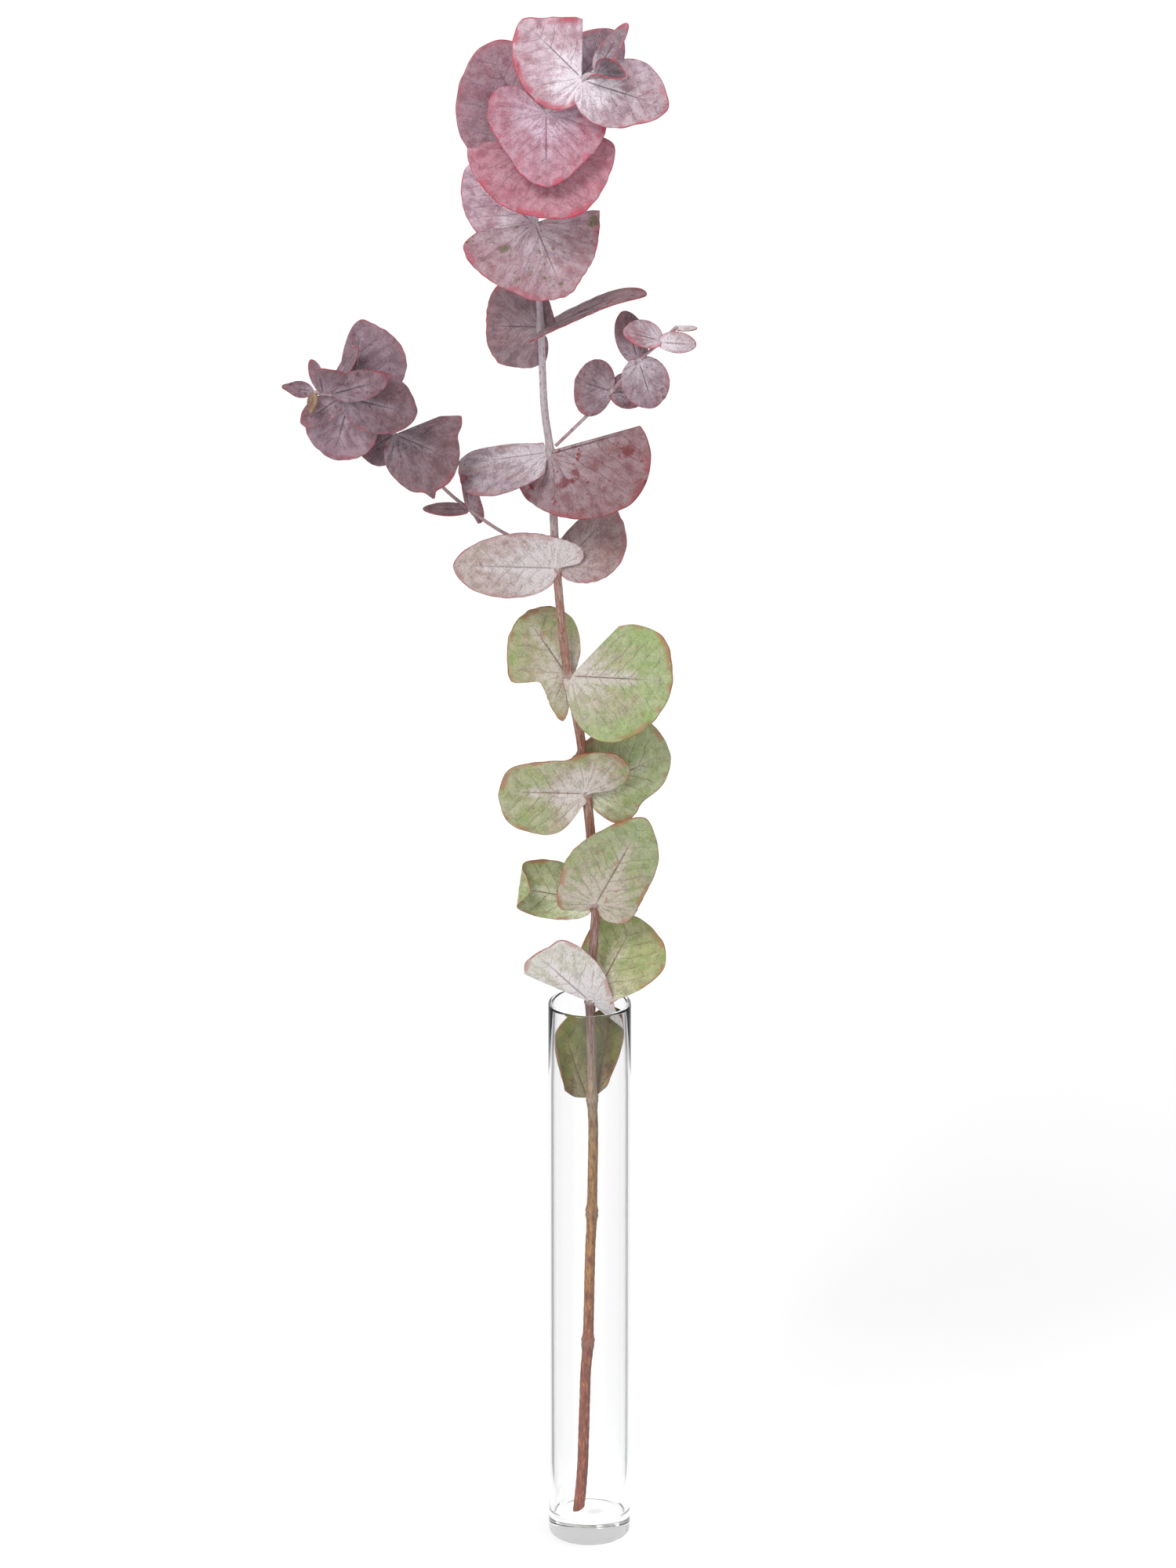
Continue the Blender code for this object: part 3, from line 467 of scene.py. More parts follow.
def blade(row, across, out, rng):
    """A leaf's middle surface in its own axes (right, towards the tip, up), and where each of
    its points is on the flat leaf: right of the midrib, along it, and in from the margin."""
    length = np.linalg.norm(row["tip"])
    size = min(1.0, length / FULL_RIPPLE)
    flat_right, flat_tip = np.zeros_like(across), np.zeros_like(across)
    right, up, inward = (np.zeros_like(across) for _ in range(3))
    ripple = [rng.integers(2, 6) for _ in range(3)]
    crimps, crimp_seed = [rng.integers(17, 47) for _ in range(6)], rng.integers(1000)
    for side, sign in ((0, -1), (1, 1)):
        here = across * sign >= 0
        notch = math.radians(row["notch"][side])
        if row["drawn"]:
            notch = abs(math.radians(row["drawn"][0 if side == 0 else -1][0]))
        share = np.abs(across[here])
        angle = notch * (EVEN_SPACING * share + (1 - EVEN_SPACING) * share ** 2)
        if row["drawn"]:
            edge = drawn_margin(sign * angle, row["drawn"])
        else:
            edge = margin(angle, length, row["halves"][side], row["lobes"][side], row["point"],
                          notch)
        edge = edge + waves(sign * angle, np.random.default_rng(crimp_seed), crimps, CRIMP * size)
        distance = LEAF_ROOT + (edge - LEAF_ROOT) * out[here]
        flat_right[here] = distance * np.sin(angle)
        flat_tip[here] = distance * np.cos(angle)
        inward[here] = edge - distance
        half = row["halves"][side]
        fold, cup = math.radians(row["fold"][side]), math.radians(row["cup"][side])
        crease = MIDRIB_CREASE * half
        turned, raised = bend(flat_right[here],
                              lambda q: fold * (1 - np.exp(-q / crease)) + cup * q / half)
        right[here] = sign * turned
        up[here] = raised
    curl = math.radians(row["curl"])

    def turn(along):
        return curl * np.clip(2 * along / length - 1, 0, 1) ** 1.5

    angle = np.arctan2(flat_right * np.sign(across + 1e-9), flat_tip)
    ahead_of = np.clip(flat_tip / length, 0, 1)
    groove = np.exp(-(flat_right / GROOVE_WIDTH) ** 2) * np.clip(flat_tip / 3, 0, 1)
    groove *= 1 - ahead_of
    rows_of_veins = (flat_tip - VEIN_SLOPE * flat_right) / VEIN_SPACING
    pillow = np.abs(np.sin(math.pi * rows_of_veins)) * np.clip(flat_right / 4, 0, 1)
    pillow *= np.clip(inward / 3, 0, 1)
    rippled = waves(angle, rng, ripple, row["wave"] * size) * out ** 2
    up = up + rippled + size * (PILLOW * pillow - GROOVE * groove)
    forward, rise = bend(np.maximum(flat_tip, 0), turn)
    turned = turn(flat_tip)
    ahead = np.where(flat_tip < 0, flat_tip, forward) - up * np.sin(turned)
    flat = np.stack([flat_right * np.sign(across + 1e-9), flat_tip, inward], axis=1)
    return (right, ahead, rise + up * np.cos(turned)), flat


def clear_of_stems(points, clearance):
    """Moves points that are too near a stem straight away from its centre line."""
    for route, radii in SHAPES.values():
        starts, runs = route[:-1], np.diff(route, axis=0)
        share = np.einsum("nij,ij->ni", points[:, None] - starts, runs) / (runs ** 2).sum(axis=1)
        nearest = starts + np.clip(share, 0, 1)[..., None] * runs
        away = points[:, None] - nearest
        distance = np.linalg.norm(away, axis=2)
        index = distance.argmin(axis=1)
        rows = np.arange(len(points))
        found = distance[rows, index]
        push = np.maximum(radii[index] + clearance - found, 0) / np.maximum(found, 1e-6)
        points = points + away[rows, index] * push[:, None]
    return points


def clear_of_glass(points, clearance):
    """Moves points that would pass through the vase's wall in to its inner side."""
    inside = VASE_RADIUS - VASE_WALL - clearance
    distance = np.linalg.norm(points[:, :2], axis=1)
    low = np.clip((VASE_HEIGHT + RIM_RELIEF - points[:, 2]) / RIM_RELIEF, 0, 1)
    share = np.where(distance > inside, inside / np.maximum(distance, 1e-6), 1)
    share = 1 - (1 - share) * low
    return points * np.stack([share, share, np.ones_like(share)], axis=1)


def leaf_points(row, across, out, rng):
    """Points of a leaf's middle surface where it grows, and their places on the flat leaf."""
    joint, along, radius = joint_frame(row["stem"], row["joint"])
    tip, face = np.array(row["tip"], float), np.array(row["face"], float)
    side = np.array(row["side"], float)
    start = joint + unit(side - along * (side @ along)) * (radius * ROOT_DEPTH)
    ahead = unit(tip)
    up = unit(face - ahead * (face @ ahead))
    right = np.cross(ahead, up)
    local, flat = blade(row, across, out, rng)
    points = start + sum(part[:, None] * axis for part, axis in zip(local, (right, ahead, up)))
    free = np.clip(np.hypot(flat[:, 0], flat[:, 1]) / 4, 0, 1) ** 0.5
    points = clear_of_stems(points, LEAF_THICKNESS * (free - 0.5))
    return clear_of_glass(points, LEAF_THICKNESS), flat


def new_mesh(name, points, faces):
    mesh = bpy.data.meshes.new(name)
    mesh.from_pydata([tuple(p) for p in points * MM], [], faces)
    mesh.shade_smooth()
    made = bpy.data.objects.new(name, mesh)
    scene.collection.objects.link(made)
    return made


def grid_faces(rows, columns, closed=False):
    """Quads of a grid whose points run column by column within each row."""
    wide = columns if closed else columns - 1
    return [(i * columns + j, i * columns + (j + 1) % columns,
             (i + 1) * columns + (j + 1) % columns, (i + 1) * columns + j)
            for i in range(rows - 1) for j in range(wide)]


def point_values(made, name, values):
    """Stores three numbers per point for the materials to read."""
    kept = made.data.attributes.new(name, "FLOAT_VECTOR", "POINT")
    kept.data.foreach_set("vector", np.asarray(values, np.float32).ravel())


def as_piece(made, node, slot):
    """Hangs a piece on the root body and hides the CAD node that it stands for. Its slot is not
    used.
    """
    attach(made, "root")
    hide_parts(node)


def make_leaf(number, row):
    """One leaf's blade, its upper side and its under side each in its own material."""
    rng = np.random.default_rng(100 + number)
    small = np.linalg.norm(row["tip"]) < SMALL_LEAF
    around, outwards = SMALL_LEAF_GRID if small else LEAF_GRID
    across, out = np.meshgrid(np.linspace(-1, 1, around + 1), np.linspace(0, 1, outwards + 1))
    points, flat = leaf_points(row, across.ravel(), out.ravel(), rng)
    made = new_mesh(row["name"] + "_blade", points, grid_faces(outwards + 1, around + 1))
    point_values(made, "leaf", flat)
    top, under = leaf_materials(number, row)
    made.data.materials.append(top)
    made.data.materials.append(under)
    thick = made.modifiers.new("thickness", "SOLIDIFY")
    thick.thickness = LEAF_THICKNESS * MM
    thick.offset = 0
    thick.material_offset = 1
    as_piece(made, row["name"], row["colour"])


def linear(code):
    """A screen colour such as "b08090" as scene-linear red, green and blue."""
    parts = [int(code[i:i + 2], 16) / 255 for i in (0, 2, 4)]
    return [p / 12.92 if p <= 0.04045 else ((p + 0.055) / 1.055) ** 2.4 for p in parts]


class Graph:
    """Short names for building one material's nodes."""

    def __init__(self, name):
        self.material = bpy.data.materials.new(name)
        self.material.use_nodes = True
        self.nodes = self.material.node_tree.nodes
        self.links = self.material.node_tree.links
        self.shader = self.nodes["Principled BSDF"]

    def put(self, socket, value):
        if isinstance(value, bpy.types.NodeSocket):
            self.links.new(value, socket)
        elif isinstance(value, str):
            socket.default_value = linear(value) + [1] * (socket.type == "RGBA")
        else:
            socket.default_value = value

    def math(self, operation, *values):
        node = self.nodes.new("ShaderNodeMath")
        node.operation = operation
        for socket, value in zip(node.inputs, values):
            self.put(socket, value)
        return node.outputs[0]

    def add(self, *values):
        return functools.reduce(lambda total, value: self.math("ADD", total, value), values)

    def times(self, *values):
        return functools.reduce(lambda total, value: self.math("MULTIPLY", total, value), values)

    def less(self, a, b):
        return self.math("SUBTRACT", a, b)

    def length(self, x, y):
        return self.math("SQRT", self.add(self.times(x, x), self.times(y, y)))

    def ease(self, value, low, high, start=0.0, end=1.0):
        """value mapped smoothly from low..high to start..end."""
        node = self.nodes.new("ShaderNodeMapRange")
        node.interpolation_type = "SMOOTHSTEP"
        for socket, given in zip(node.inputs, (value, low, high, start, end)):
            self.put(socket, given)
        return node.outputs[0]

    def mix(self, share, first, second, kind="RGBA", ends=(6, 7), result=2):
        node = self.nodes.new("ShaderNodeMix")
        node.data_type = kind
        for index, value in zip((0, *ends), (share, first, second)):
            self.put(node.inputs[index], value)
        return node.outputs[result]

    def pick(self, share, first, second):
        """A number between two others."""
        return self.mix(share, first, second, "FLOAT", (2, 3), 0)

    def shade(self, colour, factor):
        """A colour made darker or brighter by a number."""
        node = self.nodes.new("ShaderNodeVectorMath")
        node.operation = "SCALE"
        self.put(node.inputs[0], colour)
        self.put(node.inputs[3], factor)
        return node.outputs[0]

    def vector(self, x, y, z):
        node = self.nodes.new("ShaderNodeCombineXYZ")
        for socket, value in zip(node.inputs, (x, y, z)):
            self.put(socket, value)
        return node.outputs[0]

    def parts(self, vector):
        node = self.nodes.new("ShaderNodeSeparateXYZ")
        self.links.new(vector, node.inputs[0])
        return node.outputs[0], node.outputs[1], node.outputs[2]

    def attribute(self, name):
        node = self.nodes.new("ShaderNodeAttribute")
        node.attribute_name = name
        return node.outputs["Vector"]

    def noise(self, vector, scale, detail=3.0, rough=0.55):
        node = self.nodes.new("ShaderNodeTexNoise")
        self.put(node.inputs["Vector"], vector)
        node.inputs["Scale"].default_value = scale
        node.inputs["Detail"].default_value = detail
        node.inputs["Roughness"].default_value = rough
        return node.outputs[0]

    def cells(self, vector, scale, feature="F1"):
        node = self.nodes.new("ShaderNodeTexVoronoi")
        node.feature = feature
        self.put(node.inputs["Vector"], vector)
        node.inputs["Scale"].default_value = scale
        return node.outputs["Distance"]

    def bump(self, height, depth, strength):
        node = self.nodes.new("ShaderNodeBump")
        node.inputs["Strength"].default_value = strength
        node.inputs["Distance"].default_value = depth
        self.links.new(height, node.inputs["Height"])
        self.links.new(node.outputs[0], self.shader.inputs["Normal"])

    def finish(self, colour, roughness, specular=0.3):
        self.put(self.shader.inputs["Base Color"], colour)
        self.put(self.shader.inputs["Roughness"], roughness)
        self.shader.inputs["Specular IOR Level"].default_value = specular
        return self.material


# What a leaf's look says. The colours: large blotches, small flecks, stains, veins and rim. How
# much of the blade blotches, flecks and stains cover, and how wide the rim is. The blush inside
# the rim and its width. How much bloom lies at the foot, along the midrib and everywhere.
LOOK_FIELDS = ("blotch", "fleck", "stain", "vein", "rim", "blotches", "flecks", "stains",
               "rim_wide", "blush", "blush_wide", "base", "rib", "all")
LOOKS = {
    "rose": ("a05468 8c3448 8c4450 7c4858 c43c54",
             0.5, 0.6, 0.35, 0.4, 0.75, 2.5, 0.85, 0.2, 0.3),
    "spotted": ("985a62 7c3c48 5e6428 6d4650 b8485a",
             0.45, 0.5, 0.75, 0.45, 0.5, 2.0, 0.85, 0.25, 0.32),
    "mauve": ("985a62 7c3c48 80424e 6d4650 c2495c",
             0.45, 0.5, 0.4, 0.45, 0.5, 2.0, 0.85, 0.25, 0.32),
    "dusky": ("9a5f66 5e3a48 5c3844 5c4450 b8505c",
             0.3, 0.5, 0.4, 0.4, 0.45, 1.6, 0.6, 0.2, 0.34),
    "maroon": ("7a2c2c 5a2c2e 7a2224 4c2c30 9a3c44",
             0.4, 0.6, 0.85, 0.4, 0.6, 2.0, 0.5, 0.2, 0.38),
    "greyish": ("9c7670 8c6a66 90645e 8a7470 a8606a",
             0.5, 0.35, 0.45, 0.4, 0.45, 1.8, 0.9, 0.5, 0.4),
    "green": ("82a04c 8c6248 9c6c44 6e4a44 a4533a",
             0.5, 0.35, 0.5, 0.4, 0.6, 1.8, 0.95, 0.6, 0.2),
    "moss": ("7c9240 7c5638 7c5430 684a38 a05434",
             0.5, 0.4, 0.6, 0.4, 0.7, 2.4, 0.6, 0.4, 0.25),
    "pale": ("bcb4a8 9c7c68 a88c74 8c7468 a85c50",
             0.4, 0.25, 0.3, 0.45, 0.6, 1.8, 0.9, 0.5, 0.5),
    "twig": ("70484e 54363e 5c2c34 54404a a04c56",
             0.4, 0.5, 0.6, 0.4, 0.5, 1.5, 0.6, 0.3, 0.3),
    "bud": ("a89868 6c4a40 744c3c 7c6450 8c4c48",
             0.4, 0.4, 0.5, 0.3, 0.4, 1.0, 0.3, 0.1, 0.2),
}


def leaf_material(name, look, length, seed, under):
    """Waxy leaf skin. The leaf attribute is (right of the midrib, along it, from the margin)."""
    g = Graph(name)
    side, along, inward = g.parts(g.attribute("leaf"))
    off = g.math("ABSOLUTE", side)
    place = g.vector(side, along, seed)
    radius = g.length(side, along)
    angle = g.math("ARCTAN2", off, along)

    broad = g.noise(place, 0.09, 3.0)
    mottle = g.noise(place, 0.33, 5.0, 0.62)
    grain = g.noise(place, 1.7, 3.0, 0.65)
    fine = g.noise(place, 4.2, 2.0, 0.6)
    rays = g.noise(g.vector(g.times(angle, 7.0), g.times(radius, 0.16), seed + 4.0), 1.0, 4.0, 0.6)

    # veins: a midrib, side veins that leave it, and a fan of them in the lobes
    wander = g.add(g.times(g.less(broad, 0.5), 7.0), g.times(g.less(mottle, 0.5), 1.3))
    ahead = g.add(along, wander)
    order = g.math("DIVIDE", g.less(ahead, g.times(off, VEIN_SLOPE)), VEIN_SPACING)
    beyond = g.math("GREATER_THAN", order, 0.0)
    fan = g.math("DIVIDE", g.less(g.add(angle, g.times(wander, 0.04)), 0.87), 0.42)
    order = g.pick(beyond, g.times(fan, -1.0), order)
    apart = g.times(g.math("PINGPONG", order, 0.5),
                    g.pick(beyond, g.times(radius, 0.42), VEIN_SPACING * 0.77))
    shown = g.times(g.ease(g.add(rays, g.times(broad, 0.5)), 0.55, 0.85, 0.15, 1.0),
                    g.ease(inward, 1.0, 6.0))
    side_veins = g.times(g.ease(apart, 0.05, 0.3, 1.0, 0.0), shown, g.ease(radius, 1.0, 4.0))
    midrib = g.times(g.ease(g.add(off, g.times(g.less(grain, 0.5), 0.3)), 0.1, 0.42, 1.0, 0.0),
                     g.ease(along, 0.5, 2.5),
                     g.ease(along, length * 0.45, length * 0.95, 1.0, 0.0))
    net = g.ease(g.cells(place, 0.75, "DISTANCE_TO_EDGE"), 0.0, 0.09, 1.0, 0.0)

    # colour
    reach = g.add(g.math("DIVIDE", radius, length), g.times(g.less(broad, 0.5), 1.3))
    colour = g.mix(g.ease(reach, 0.2, 0.85), look["inner"], look["outer"])
    colour = g.shade(colour, g.ease(mottle, 0.36, 0.62, 0.76, 1.06))
    blotch = g.ease(g.noise(g.vector(along, side, seed + 9.0), 0.16, 4.0), 0.46, 0.62)
    colour = g.mix(g.times(blotch, look["blotches"]), colour, look["blotch"])
    foot = g.times(g.ease(radius, 1.0, length * 0.55, 1.0, 0.0), look["base"])
    rib = g.times(g.ease(off, 0.2, length * 0.12, 1.0, 0.0), g.ease(along, 0.0, 2.0),
                  g.ease(along, length * 0.5, length, 1.0, 0.0), look["rib"])
    wax = g.add(foot, rib, look["all"] * (1.5 if under else 1.0))
    powder = g.add(g.times(mottle, 0.28), g.times(rays, 0.5), g.times(grain, 0.22))
    wax = g.times(wax, g.ease(powder, 0.41, 0.59, 0.4, 1.5))
    wax = g.math("MINIMUM", wax, 0.95)
    colour = g.mix(wax, colour, g.shade(look["bloom"], 1.06))
    patch = g.ease(g.noise(g.vector(along, side, seed + 33.0), 0.11, 2.0), 0.48, 0.6)
    blush = g.ease(g.less(inward, g.times(mottle, 2.0)), 0.0, look["blush_wide"], 1.0, 0.0)
    blush = g.times(blush, patch, look["blush"])
    colour = g.mix(g.times(blush, g.ease(grain, 0.3, 0.6, 0.5, 1.0)), colour, look["rim"])
    colour = g.mix(g.times(net, 0.16), colour, look["fleck"])
    flecks = g.times(g.ease(g.add(grain, g.times(fine, 0.35)), 0.72, 0.84), look["flecks"])
    colour = g.mix(flecks, colour, look["fleck"])
    ribs = g.math("MAXIMUM", g.times(midrib, 0.75), g.times(side_veins, 0.45))
    colour = g.mix(g.times(ribs, 0.45 if under else 1.0), colour,
                   look["bloom"] if under else look["vein"])
    wide = g.times(g.ease(broad, 0.35, 0.65, 0.1, 1.0), look["rim_wide"])
    rim = g.ease(g.less(inward, g.times(mottle, wide)), 0.0, g.add(wide, 0.05), 1.0, 0.0)
    colour = g.mix(g.times(rim, g.ease(mottle, 0.35, 0.6, 0.35, 0.9)), colour, look["rim"])
    stain = g.times(g.ease(g.noise(g.vector(along, side, seed + 21.0), 0.28, 5.0, 0.6), 0.6, 0.68),
                    look["stains"])
    colour = g.mix(stain, colour, look["stain"])
    tint, spots = SPOTS.get(name.rsplit("_", 1)[0], ("000000", []))
    for right, ahead, size in spots:
        away = g.length(g.less(side, right), g.less(along, ahead))
        ragged = g.add(away, g.times(g.less(mottle, 0.5), 9.0), g.times(g.less(grain, 0.5), 3.0))
        colour = g.mix(g.times(g.ease(ragged, size * 0.4, size, 0.75, 0.0),
                               g.ease(grain, 0.35, 0.55, 0.5, 1.0)), colour, tint)
    light = g.add(0.70, g.ease(grain, 0.33, 0.67, 0.0, 0.34), g.ease(fine, 0.3, 0.7, 0.0, 0.3))
    colour = g.shade(colour, light)

    height = g.add(g.times(ribs, 0.9 if under else -0.9), g.times(net, -0.12),
                   g.times(grain, 0.35), g.times(mottle, 0.5))
    g.bump(height, LEAF_RELIEF, 0.8)
    return g.finish(colour, g.ease(mottle, 0.3, 0.7, 0.5, 0.68), 0.28)


def leaf_materials(number, row):
    """The upper and the under side's materials of one leaf."""
    style, inner, outer, bloom = TONES.get(row["name"], TONES["left_twig_leaf_4_left"]).split()
    colours, *numbers = LOOKS[style]
    look = dict(zip(LOOK_FIELDS, colours.split() + numbers), inner=inner, outer=outer, bloom=bloom)
    length = float(np.linalg.norm(row["tip"]))
    return [leaf_material(f"{row['name']}_{part}", look, length, 7.3 * number + 3, part == "under")
            for part in ("upper", "under")]


def stem_material(name, stops, pale):
    """Bark: its colour by height, a pale bloom, rings, long ridges and small dark lenticels.

    The stem attribute is (distance along, distance round, distance to the nearest joint).
    """
    g = Graph(name)
    along, around, joint = g.parts(g.attribute("stem"))
    place = g.vector(around, g.times(along, 0.35), 2.0)
    coordinates = g.nodes.new("ShaderNodeTexCoord")
    height = g.parts(coordinates.outputs["Object"])[2]
    mottle = g.noise(place, 0.5, 5.0, 0.65)
    grain = g.noise(place, 2.4, 3.0, 0.6)
    ridges = g.noise(g.vector(g.times(around, 2.2), g.times(along, 0.12), 6.0), 1.0, 3.0)
    level = g.add(height, g.times(g.less(mottle, 0.5), 0.05))
    colour = stops[0][1]
    for (low, _), (high, tone) in zip(stops, stops[1:]):
        colour = g.mix(g.ease(level, low * MM, high * MM), colour, tone)
    bare = g.ease(level, 0.165, 0.2)
    colour = g.mix(g.times(g.ease(ridges, 0.42, 0.66, 0.0, 0.45), bare), colour, pale)
    colour = g.mix(g.times(g.ease(ridges, 0.4, 0.6), g.less(0.55, g.times(bare, 0.45))), colour,
                   g.shade(colour, 1.5))
    wet = g.less(1.0, bare)
    streaks = g.noise(g.vector(g.times(around, 0.9), g.times(along, 0.22), 11.0), 1.0, 5.0, 0.65)
    colour = g.mix(g.times(g.ease(streaks, 0.5, 0.6), wet, 0.75), colour, "6a3c24")
    colour = g.mix(g.times(g.ease(streaks, 0.36, 0.46, 1.0, 0.0), wet, 0.6), colour, "c8985c")
    specks = g.ease(g.cells(place, 1.1), 0.16, 0.3, 1.0, 0.0)
    colour = g.mix(g.times(specks, g.ease(mottle, 0.35, 0.6), 0.6), colour, "5a342c")
    ring = g.ease(g.add(joint, g.times(mottle, 1.5)), 0.6, 3.2, 1.0, 0.0)
    colour = g.mix(g.times(ring, g.pick(bare, 0.12, 0.55)), colour, pale)
    colour = g.shade(colour, g.add(0.3, g.times(grain, 0.8), g.times(mottle, 0.5)))
    relief = g.add(g.times(ridges, 0.8), g.times(grain, 0.5), g.times(specks, 0.6))
    g.bump(relief, BARK_RELIEF, 0.9)
    return g.finish(colour, g.ease(grain, 0.3, 0.7, 0.6, 0.8), 0.25)


def glass_material():
    """Clear glass that lets the lamps through."""
    g = Graph("clear_glass")
    g.shader.inputs["Base Color"].default_value = (1, 1, 1, 1)
    g.shader.inputs["Roughness"].default_value = 0.0
    g.shader.inputs["IOR"].default_value = GLASS_IOR
    g.shader.inputs["Transmission Weight"].default_value = 1.0
    through = g.nodes.new("ShaderNodeBsdfTransparent")
    through.inputs["Color"].default_value = GLASS_SHADOW
    path = g.nodes.new("ShaderNodeLightPath")
    mixed = g.nodes.new("ShaderNodeMixShader")
    g.links.new(path.outputs["Is Shadow Ray"], mixed.inputs[0])
    g.links.new(g.shader.outputs[0], mixed.inputs[1])
    g.links.new(through.outputs[0], mixed.inputs[2])
    g.links.new(mixed.outputs[0], g.nodes["Material Output"].inputs["Surface"])
    return g.material
def make_stem(name, node, slot, shape, marked, material, sides, cut=None):
    """A tube with long ridges, swollen joints with a ring and, at its foot, the cut."""
    route, radii = shape
    steps = np.diff(route, axis=0)
    run = np.concatenate([[0], np.cumsum(np.linalg.norm(steps, axis=1))])
    tangents = np.gradient(route, axis=0)
    tangents /= np.linalg.norm(tangents, axis=1)[:, None]
    near = joint_distance(route, marked)
    across = np.cross(tangents[0], (0, 1, 0))
    angle = np.arange(sides) / sides * 2 * math.pi
    rng = np.random.default_rng(len(name))
    rings, values = [], []
    ridge = waves(angle, rng, (3, 5, 8, 11), RIDGE)
    for i, (place, tangent, radius) in enumerate(zip(route, tangents, radii)):
        across = unit(across - tangent * (across @ tangent))
        other = np.cross(tangent, across)
        lump = waves(angle + 0.05 * run[i], np.random.default_rng(3), (2, 3), LUMP)
        lump = lump * math.sin(run[i] * 0.31) + BULGE * math.sin(run[i] * 1.7)
        collar = COLLAR * math.exp(-((near[i] - COLLAR_PLACE) / COLLAR_WIDTH) ** 2)
        reach = radius * (1 + ridge + lump + collar)
        ring = (place + np.outer(reach * np.cos(angle), across)
                + np.outer(reach * np.sin(angle), other))
        if cut is not None:  # the oblique cut: the foot's points lie on a slanting plane
            left = max(0.0, 1 - run[i] / CUT_REACH)
            depth = cut * np.cos(angle) * left
            ring = ring + np.outer(depth + abs(cut) * left, tangent)
        rings.append(ring)
        values += [(run[i], radius * a, near[i]) for a in angle]
    points = np.concatenate(rings + [route[:1] if cut is None else rings[0].mean(0)[None],
                                     route[-1:] + tangents[-1] * radii[-1] * 0.6])
    values += [(0, 0, near[0]), (run[-1], 0, near[-1])]
    faces = grid_faces(len(route), sides, closed=True)
    foot, top = len(points) - 2, len(points) - 1
    last = (len(route) - 1) * sides
    faces += [(foot, (j + 1) % sides, j) for j in range(sides)]
    faces += [(top, last + j, last + (j + 1) % sides) for j in range(sides)]
    made = new_mesh(name, points, faces)
    point_values(made, "stem", values)
    made.data.materials.append(material)
    as_piece(made, node, slot)


def rounded(centre, radius, start, end, steps):
    """Points on an arc, angles in degrees."""
    angles = [math.radians(start + (end - start) * i / steps) for i in range(steps + 1)]
    return [(centre[0] + radius * math.cos(a), centre[1] + radius * math.sin(a)) for a in angles]


def make_vase():
    """The vase's profile turned about its axis, with finer steps than its CAD solid."""
    inner, lip, around = VASE_RADIUS - VASE_WALL, VASE_WALL / 2, VASE_SIDES
    profile = [(3.0, VASE_FLOOR + 0.25), (7.0, VASE_FLOOR + 0.1)]  # the floor is a little domed
    profile += rounded((inner - FLOOR_ROUNDING, VASE_FLOOR + FLOOR_ROUNDING), FLOOR_ROUNDING,
                       -90, 0, 10)
    profile += [(inner, 60.0), (inner, 120.0), (inner, 180.0)]
    profile += rounded((VASE_RADIUS - lip, VASE_HEIGHT - lip), lip, 180, 0, 14)
    profile += [(VASE_RADIUS, 180.0), (VASE_RADIUS, 120.0), (VASE_RADIUS, 60.0)]
    profile += rounded((VASE_RADIUS - FOOT_ROUNDING, FOOT_ROUNDING), FOOT_ROUNDING, 0, -90, 10)
    profile += [(8.0, 0.0), (3.0, 0.0)]
    angle = np.arange(around) / around * 2 * math.pi
    points = [(r * math.cos(a), r * math.sin(a), z) for r, z in profile for a in angle]
    points += [(0, 0, VASE_FLOOR + 0.3), (0, 0, 0)]
    faces = grid_faces(len(profile), around, closed=True)
    centre, last = len(points) - 2, (len(profile) - 1) * around
    faces += [(centre, (j + 1) % around, j) for j in range(around)]
    faces += [(centre + 1, last + j, last + (j + 1) % around) for j in range(around)]
    made = new_mesh("clear_vase", np.array(points), [face[::-1] for face in faces])
    made.data.materials.append(glass_material())
    as_piece(made, "glass_vase", "glass")


def sun_light(name, towards, softness, strength):
    """Even light from one direction, softened as if it came through a large cloth."""
    lamp = bpy.data.lights.new(name, "SUN")
    lamp.angle = math.radians(softness)
    lamp.energy = strength
    made = bpy.data.objects.new(name, lamp)
    made.rotation_euler = Vector(towards).to_track_quat("Z", "Y").to_euler()
    scene.collection.objects.link(made)


def stage_sheet(name, corners):
    """A flat square that is no part of the object."""
    mesh = bpy.data.meshes.new(name)
    mesh.from_pydata(corners, [], [(0, 1, 2, 3)])
    made = bpy.data.objects.new(name, mesh)
    scene.collection.objects.link(made)
    return made


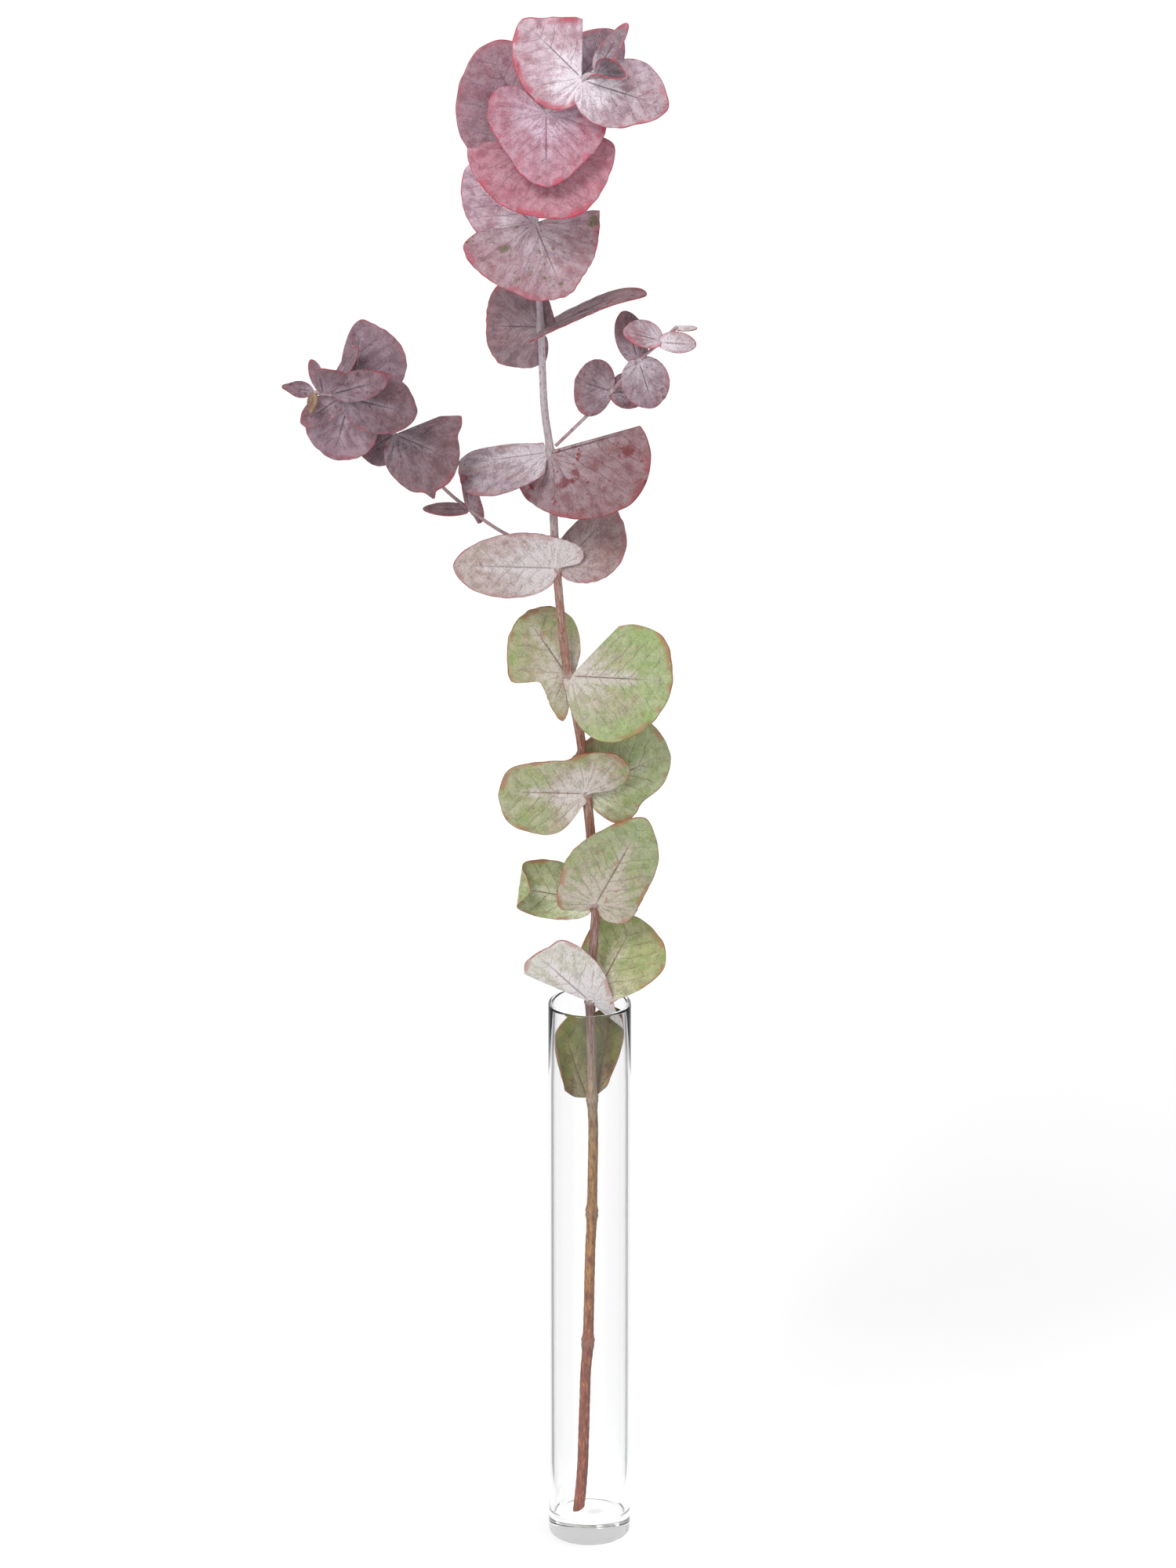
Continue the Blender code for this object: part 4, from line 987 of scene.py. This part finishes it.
def make_stage():
    """A pale floor, even white light all round, and two grey cards that only the glass sees."""
    far = FLOOR_REACH
    floor = stage_sheet("floor", [(-far, -far, 0), (far, -far, 0), (far, far, 0), (-far, far, 0)])
    floor.location.z = -FLOOR_DROP
    g = Graph("pale_floor")
    g.shader.inputs["Emission Color"].default_value = (1, 1, 1, 1)
    g.shader.inputs["Emission Strength"].default_value = FLOOR_GLOW
    floor.data.materials.append(g.finish("f2f2f2", 0.9, 0.0))
    for side in (-1, 1):
        x = CARD_PLACE * side
        card = stage_sheet(f"card_{side + 1}",
                           [(x, -CARD_REACH, 0), (x, CARD_REACH, 0),
                            (x, CARD_REACH, CARD_HEIGHT), (x, -CARD_REACH, CARD_HEIGHT)])
        card.data.materials.append(Graph(f"grey_card_{side + 1}").finish("bcbec0", 0.9, 0.0))
        card.visible_camera = False
        card.visible_diffuse = False
        card.visible_shadow = False
    world = bpy.data.worlds.new("studio")
    world.use_nodes = True
    world.node_tree.nodes["Background"].inputs[0].default_value = (1, 1, 1, 1)
    world.node_tree.nodes["Background"].inputs[1].default_value = WORLD_LIGHT
    scene.world = world
    sun_light("key", KEY_FROM, KEY_SOFTNESS, KEY_LIGHT)
    sun_light("fill", FILL_FROM, FILL_SOFTNESS, FILL_LIGHT)


def make_camera():
    """The photograph's view: from the front, looking a little down."""
    camera = bpy.data.cameras.new("camera")
    camera.sensor_fit = "VERTICAL"
    camera.sensor_height = SENSOR
    camera.lens = LENS
    made = bpy.data.objects.new("camera", camera)
    made.location = CAMERA_PLACE
    made.rotation_euler = (math.radians(90 - CAMERA_DOWN), 0, 0)
    scene.collection.objects.link(made)
    scene.camera = made


make_camera()
make_stage()
make_vase()
main_bark = stem_material("bark", MAIN_BARK, MAIN_BLOOM)
twig_bark = stem_material("twig_bark", TWIG_BARK, TWIG_BLOOM)
make_stem("stem", "main_stem", "bark", main_stem_shape(STEM_STEP), MAIN_STEM, main_bark,
          STEM_SIDES, cut=CUT_SLANT)
make_stem("twig_left", "left_twig", "twig", twig_shape(LEFT_TWIG, TWIG_STEP), LEFT_TWIG,
          twig_bark, TWIG_SIDES)
make_stem("twig_right", "right_twig", "twig", twig_shape(RIGHT_TWIG, TWIG_STEP), RIGHT_TWIG,
          twig_bark, TWIG_SIDES)
for number, row in enumerate(LEAVES):
    make_leaf(number, row)

scene.view_settings.view_transform = "Standard"
light_paths = scene.cycles
light_paths.max_bounces = LIGHT_STEPS
light_paths.glossy_bounces = light_paths.transmission_bounces = MIRROR_STEPS
